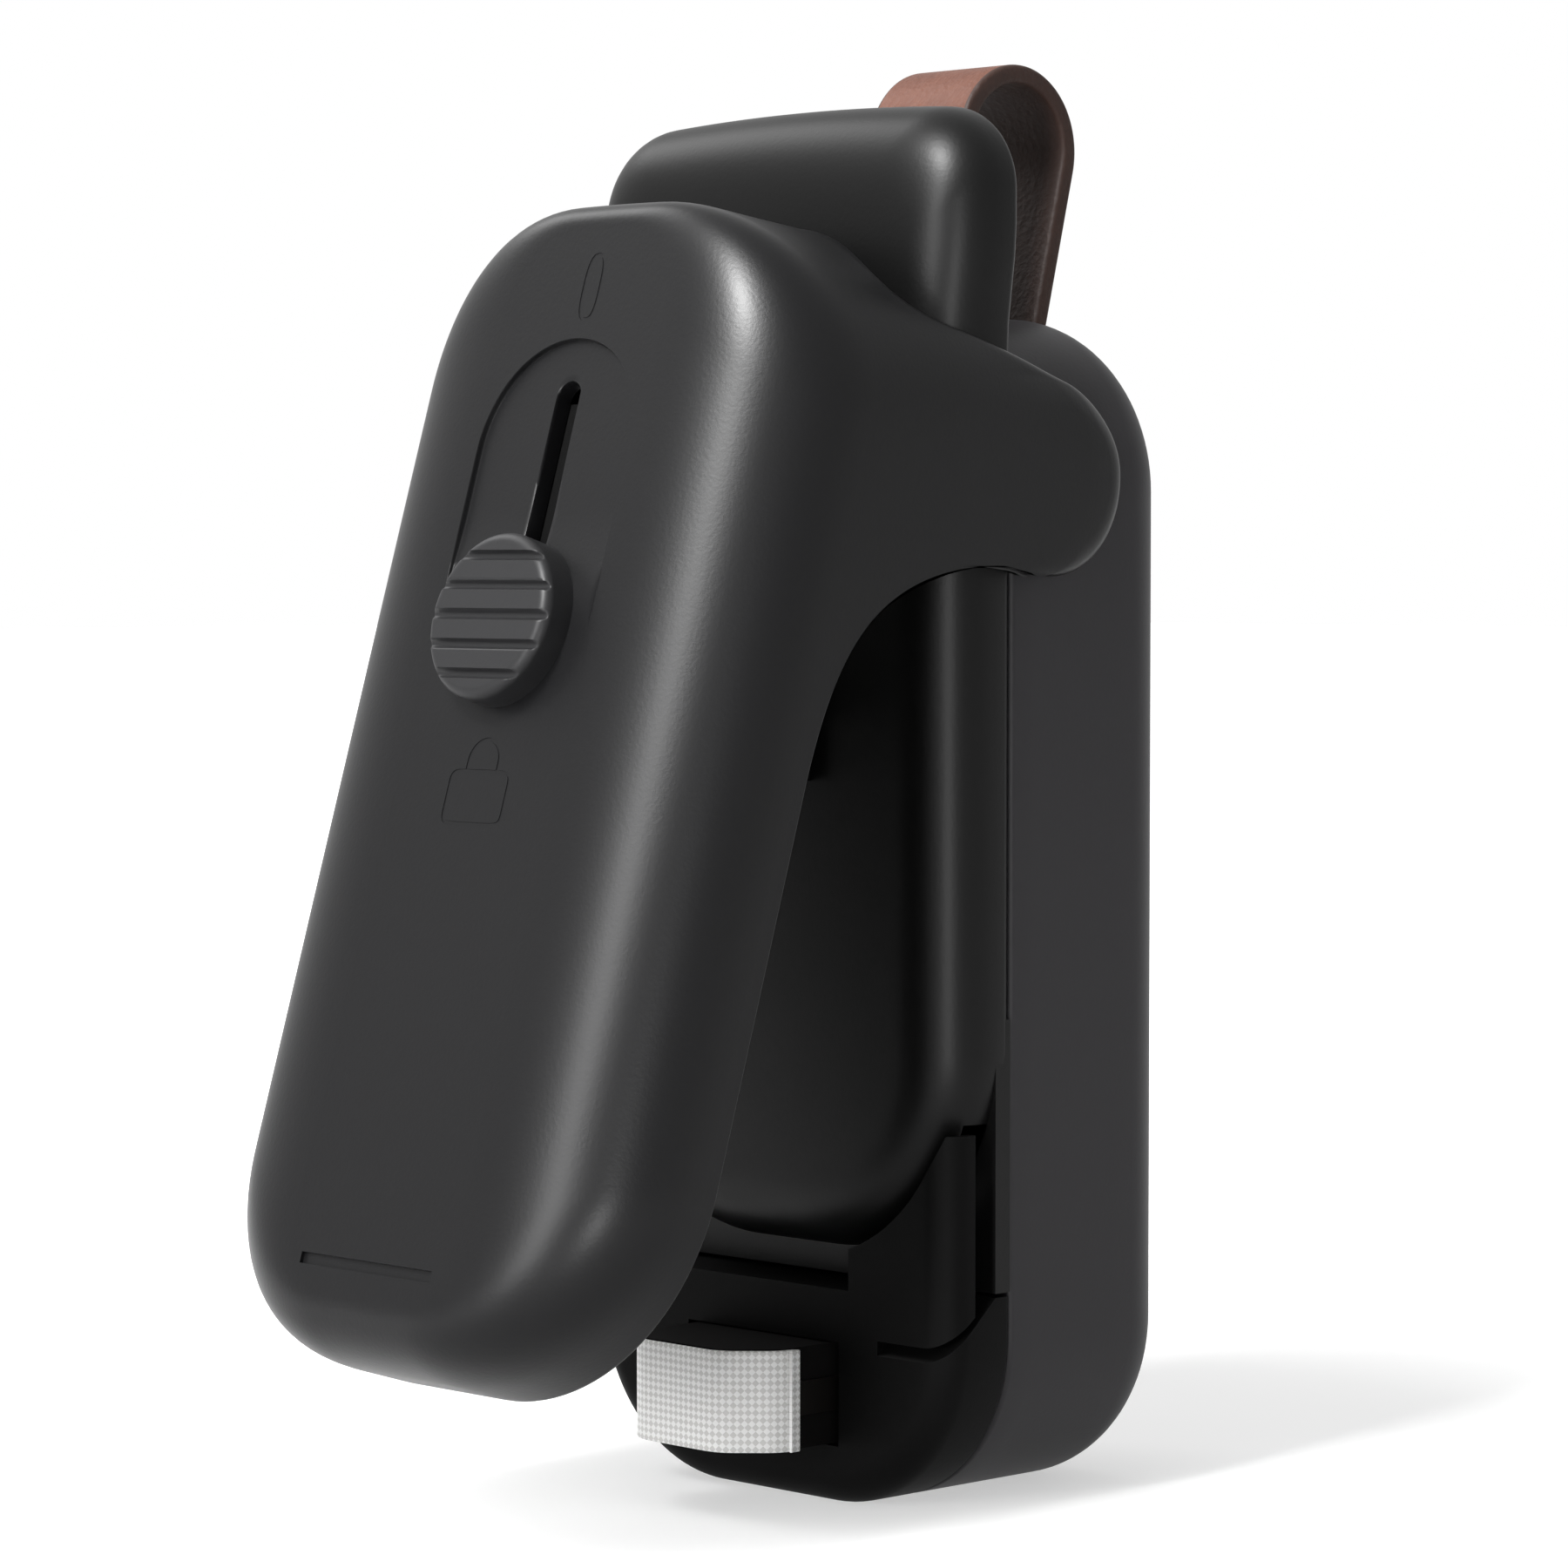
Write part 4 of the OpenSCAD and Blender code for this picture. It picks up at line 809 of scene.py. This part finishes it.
# section of a thin strip with rounded edges: places across its width, and depths below its outer face
def stripSection(low, high, thick, edge, count):
    a = np.linspace(0, np.pi / 2, 5)
    w, d = edge - edge * np.cos(a), edge - edge * np.sin(a)
    flat = np.linspace(low + edge, high - edge, count)[1:-1]
    across = np.concatenate([low + w, flat, high - w[::-1], high - w, flat[::-1], low + w[::-1]])
    down = np.concatenate([d, 0 * flat, d[::-1], thick - d, thick + 0 * flat, thick - d[::-1]])
    return across, down


cloth = {
    "flat": 4.3, "half": 7.7, "front": -16.2, "flank": 3.4, "back": -12.2, "low": 4.6, "high": 12.0,
    "thick": 0.3, "edge": 0.12, "turn": 1.4,
}


# path through corner points with each corner rounded by a quadratic curve that starts `turn` before it
def roundedPath(points, turn):
    p = np.array(points, float)
    t = np.linspace(0, 1, 9)[:, None]
    out = [p[:1]]
    for i in range(1, len(p) - 1):
        a = p[i] + (p[i - 1] - p[i]) / np.linalg.norm(p[i - 1] - p[i]) * turn
        b = p[i] + (p[i + 1] - p[i]) / np.linalg.norm(p[i + 1] - p[i]) * turn
        out.append((1 - t) ** 2 * a + 2 * t * (1 - t) * p[i] + t ** 2 * b)
    return np.concatenate(out + [p[-1:]])


# glass cloth: a band wrapped over the jaw's flat front and slanted flanks; UV runs in mm along and across it
def buildCloth(c):
    flankY = c["front"] + c["flank"]
    corners = [(-c["half"], c["back"], 0), (-c["half"], flankY, 0), (-c["flat"], c["front"], 0),
               (c["flat"], c["front"], 0), (c["half"], flankY, 0), (c["half"], c["back"], 0)]
    path = roundedPath(corners, c["turn"])
    up = np.array([0, 0, 1])
    normal = np.cross(np.gradient(path, axis=0), up)
    normal /= np.linalg.norm(normal, axis=1)[:, None]
    height, down = stripSection(c["low"], c["high"], c["thick"], c["edge"], 14)
    rings = path[:, None] + height[None, :, None] * up - down[None, :, None] * normal[:, None]
    piece = makeMesh("glassCloth", [stack(rings)], 40)
    run = np.concatenate([[0], np.cumsum(np.linalg.norm(np.diff(path, axis=0), axis=1))])
    uv = np.stack([np.repeat(run, rings.shape[1]), rings.reshape(-1, 3)[:, 2]], -1)
    corner = np.empty(len(piece.data.loops), int)
    piece.data.loops.foreach_get("vertex_index", corner)
    piece.data.uv_layers.new(name="weave").data.foreach_set("uv", uv[corner].ravel())
    dress(piece, clothWeave, "housing", "glass_cloth", "glass_cloth")


buildCloth(cloth)
print("glass cloth built")

strap = {
    "y": 14.6, "z": 100.0, "r": 6.3, "barY": 14.2, "barZ": 84.0, "barR": 2.75, "half": 5.0, "thick": 1.4,
    "edge": 0.35,
}


# leather loop: a strap folded over the bar; its side view is the belt line round a large and a small circle
def buildStrap(s):
    gap = np.array([s["y"] - s["barY"], s["z"] - s["barZ"]])
    far = np.linalg.norm(gap)
    lean = math.asin((s["r"] - s["barR"]) / far)
    axis = math.atan2(gap[1], gap[0])
    head = np.linspace(axis - np.pi / 2 - lean, axis + np.pi / 2 + lean, 60)
    foot = np.linspace(axis + np.pi / 2 + lean, axis + 3 * np.pi / 2 - lean, 24)
    headPath = np.stack([s["y"] + s["r"] * np.cos(head), s["z"] + s["r"] * np.sin(head)], -1)
    footPath = np.stack([s["barY"] + s["barR"] * np.cos(foot), s["barZ"] + s["barR"] * np.sin(foot)], -1)
    leg = np.linspace(0, 1, 14)[1:-1, None]
    side = np.concatenate([headPath, headPath[-1] + (footPath[0] - headPath[-1]) * leg, footPath,
                           footPath[-1] + (headPath[0] - footPath[-1]) * leg])
    tangent = np.roll(side, -1, 0) - np.roll(side, 1, 0)
    normal = np.stack([tangent[:, 1], -tangent[:, 0]], -1)
    normal /= np.linalg.norm(normal, axis=1)[:, None]
    across, down = stripSection(-s["half"], s["half"], s["thick"], s["edge"], 12)
    place = side[:, None] - normal[:, None] * down[None, :, None]
    rings = np.concatenate([np.broadcast_to(across[None, :, None], place.shape[:2] + (1,)), place], -1)
    piece = makeMesh("leatherLoop", [torus(rings)], 60)
    dress(piece, leatherFace, "strap", "leather", "strap_loop")
    piece.data.materials.append(leatherInnerShade)
    piece.data.materials.append(leatherEdgeAndShade)

    # a face's finish follows from its column in the section, where each rounded edge takes 4 columns
    count, rounded = len(across), 4
    column = np.tile(np.arange(count), len(side))
    middle = np.minimum(column, (column + 1) % count) + 0.5
    # the inner faces take the painted-shade finish, and the rounded edges the partly shaded one
    inner = (middle > count / 2 + rounded) & (middle < count - rounded)
    outer = (middle > rounded) & (middle < count / 2 - rounded - 1)
    finish = np.where(inner, 1, np.where(outer, 0, 2)).astype(np.int32)
    piece.data.polygons.foreach_set("material_index", finish)


buildStrap(strap)
print("leather loop built")

spring = {"r": 2.6, "wire": 0.4, "x0": -6.0, "x1": -1.0, "turns": 4, "rearLeg": 7.5, "frontLeg": 23.0}


# return spring: a wire swept along a coil on the pivot, with a straight leg at each end; the front leg
# lies along the open lever
def buildSpring(s, v):
    count = 40 * s["turns"]
    a = np.pi / 2 + np.radians(360 * s["turns"] - v["tilt"]) * np.linspace(0, 1, count)
    coilX = np.linspace(s["x0"], s["x1"], count)
    coil = np.stack([coilX, v["pivotY"] + s["r"] * np.cos(a), v["pivotZ"] + s["r"] * np.sin(a)], -1)
    way = np.array([0, -math.sin(a[-1]), math.cos(a[-1])])
    rear = coil[0] + np.linspace(1, 0, 8)[:-1, None] * [0, s["rearLeg"], 0]
    path = np.concatenate([rear, coil, coil[-1] + np.linspace(0, 1, 24)[1:, None] * s["frontLeg"] * way])
    tangent = np.gradient(path, axis=0)
    tangent /= np.linalg.norm(tangent, axis=1)[:, None]
    side = np.cross(tangent, np.cross([1, 0, 0], tangent))
    side /= np.linalg.norm(side, axis=1)[:, None]
    other = np.cross(tangent, side)
    b = np.linspace(0, 2 * np.pi, 12, endpoint=False)[:, None, None]
    rings = np.moveaxis(path + s["wire"] * (np.cos(b) * side + np.sin(b) * other), 0, 1)
    piece = makeMesh("returnSpring", [stack(rings)], 60)
    piece.data.materials.append(springSteel)
    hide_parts("return_spring")
    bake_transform(piece)


buildSpring(spring, lever)
print("return spring built")

# finishes of the CAD nodes that stay
nodeFinish = (
    (ceramicBar, ("heater_core",)),
    (alloyRibbon, ("heating_ribbon",)),
    (brassSheet, ("heater_terminals",)),
    (wireSleeve, ("heater_wires",)),
    (cellSleeve, ("battery_cell_left", "battery_cell_right")),
    (platedSteel, ("cutter_blade", "battery_springs", "bridge_plate", "contact_plates", "strap_bar",
                   "pivot_shaft", "lock_screw")),
    (boardLaminate, ("circuit_board",)),
    (chipResin, ("board_parts", "micro_switch")),
    (absInnerAndShade, ("lock_catch", "lever_liner", "pad_holder", "lock_slide")),
    (siliconePad, ("silicone_pad",)),
    (whitePlastic, ("switch_plunger",)),
)
for finish, names in nodeFinish:
    for name in names:
        nodes[name].data.materials.clear()
        nodes[name].data.materials.append(finish)
print("CAD nodes dressed")

studio = {
    "target": (-2.64, -2.73, 52.3), "azimuth": 46.0, "elevation": 2.5, "distance": 380.0, "focalPx": 5852,
    "imagePx": 1800, "sensor": 36.0, "near": 10.0, "lampAim": (0, 0, 50),
}


# camera at the photograph's angle: distance and focal length follow the fitted perspective
def buildCamera(c):
    az, el = math.radians(c["azimuth"]), math.radians(c["elevation"])
    away = Vector((math.sin(az) * math.cos(el), -math.cos(az) * math.cos(el), math.sin(el)))
    lens = bpy.data.cameras.new("photoCamera")
    lens.sensor_width = c["sensor"]
    lens.lens = c["focalPx"] / c["imagePx"] * c["sensor"]
    lens.clip_start = c["near"] * mm
    camera = bpy.data.objects.new("photoCamera", lens)
    bpy.context.scene.collection.objects.link(camera)
    camera.location = (Vector(c["target"]) + away * c["distance"]) * mm
    camera.rotation_euler = (-away).to_track_quat("-Z", "Y").to_euler()
    bpy.context.scene.camera = camera


# a shineOnly lamp shows in reflections and adds no light to a colour
lamps = {
    "keySoftbox": {"place": (40, -440, 250), "size": (130, 560), "watts": 5.2, "shineOnly": False},
    "highSpot": {"place": (20, -360, 430), "size": (50, 50), "watts": 7.0, "shineOnly": True},
    "rightStrip": {"place": (390, -350, 32), "size": (60, 60), "watts": 1.3, "shineOnly": True},
    "topLeftSheet": {"place": (-400, -60, 460), "size": (260, 260), "watts": 1.3, "shineOnly": False},
    "overheadSheet": {"place": (20, -280, 500), "size": (110, 110), "watts": 1.6, "shineOnly": False},
}


# a soft rectangular lamp turned towards aim
def addLamp(name, s, aim):
    data = bpy.data.lights.new(name, "AREA")
    data.shape = "RECTANGLE"
    data.size, data.size_y = [length * mm for length in s["size"]]
    data.energy = s["watts"]
    lamp = bpy.data.objects.new(name, data)
    bpy.context.scene.collection.objects.link(lamp)
    lamp.location = Vector(s["place"]) * mm
    lamp.rotation_euler = (Vector(aim) - Vector(s["place"])).to_track_quat("-Z", "Y").to_euler()
    lamp.visible_diffuse = not s["shineOnly"]


buildCamera(studio)
for lampName, settings in lamps.items():
    addLamp(lampName, settings, studio["lampAim"])
print("camera and lamps set")


# 1 for the rays that show a backdrop itself: from the camera, off glossy surfaces and through glass
def shownRays(tree):
    path = addNode(tree, "ShaderNodeLightPath")
    direct = addNode(tree, "ShaderNodeMath", {
        0: (path, "Is Camera Ray"), 1: (path, "Is Glossy Ray")}, operation="MAXIMUM")
    return addNode(tree, "ShaderNodeMath", {
        0: (direct, "Value"), 1: (path, "Is Transmission Ray")}, operation="MAXIMUM")


# the floor's own white grows from nearGlow, under the object, to 1 at fadeTo
ground = {"half": 4000.0, "paint": "#c4c4c4", "fadeFrom": 50.0, "fadeTo": 150.0, "nearGlow": 0.5}
white = (1, 1, 1, 1)


# white floor: the camera sees mostly its own white, and the lamps' share keeps the object's soft shadow
def buildFloor(g):
    e = g["half"] * mm
    mesh = bpy.data.meshes.new("floor")
    mesh.from_pydata([(-e, -e, 0), (e, -e, 0), (e, e, 0), (-e, e, 0)], [], [(0, 1, 2, 3)])
    floor = bpy.data.objects.new("floor", mesh)
    bpy.context.scene.collection.objects.link(floor)
    paint, tree, shader = startMaterial("matt white floor", Base_Color=linear(g["paint"]), Roughness=0.9,
                                        Emission_Color=white)
    shown = shownRays(tree)
    place = addNode(tree, "ShaderNodeTexCoord")
    away = addNode(tree, "ShaderNodeVectorMath", {0: (place, "Object")}, operation="LENGTH")
    level = addNode(tree, "ShaderNodeMapRange", {
        "Value": (away, "Value"), "From Min": g["fadeFrom"] * mm, "From Max": g["fadeTo"] * mm,
        "To Min": g["nearGlow"], "To Max": 1.0}, interpolation_type="SMOOTHSTEP")
    glow = addNode(tree, "ShaderNodeMath", {0: (shown, "Value"), 1: (level, "Result")}, operation="MULTIPLY")
    tree.links.new(glow.outputs["Value"], shader.inputs["Emission Strength"])
    mesh.materials.append(paint)


# white surround: seen white by the camera and in reflections, and giving the object its own, lower light
def buildSurround(light):
    world = bpy.data.worlds.new("whiteSurround")
    world.use_nodes = True
    bpy.context.scene.world = world
    tree = world.node_tree
    level = addNode(tree, "ShaderNodeMapRange", {
        "Value": (shownRays(tree), "Value"), "To Min": light, "To Max": 1.0})
    backdrop = tree.nodes["Background"]
    backdrop.inputs["Color"].default_value = white
    tree.links.new(level.outputs["Result"], backdrop.inputs["Strength"])


buildFloor(ground)
buildSurround(light=0.3)
bpy.context.scene.view_settings.view_transform = "Standard"
print("studio set")
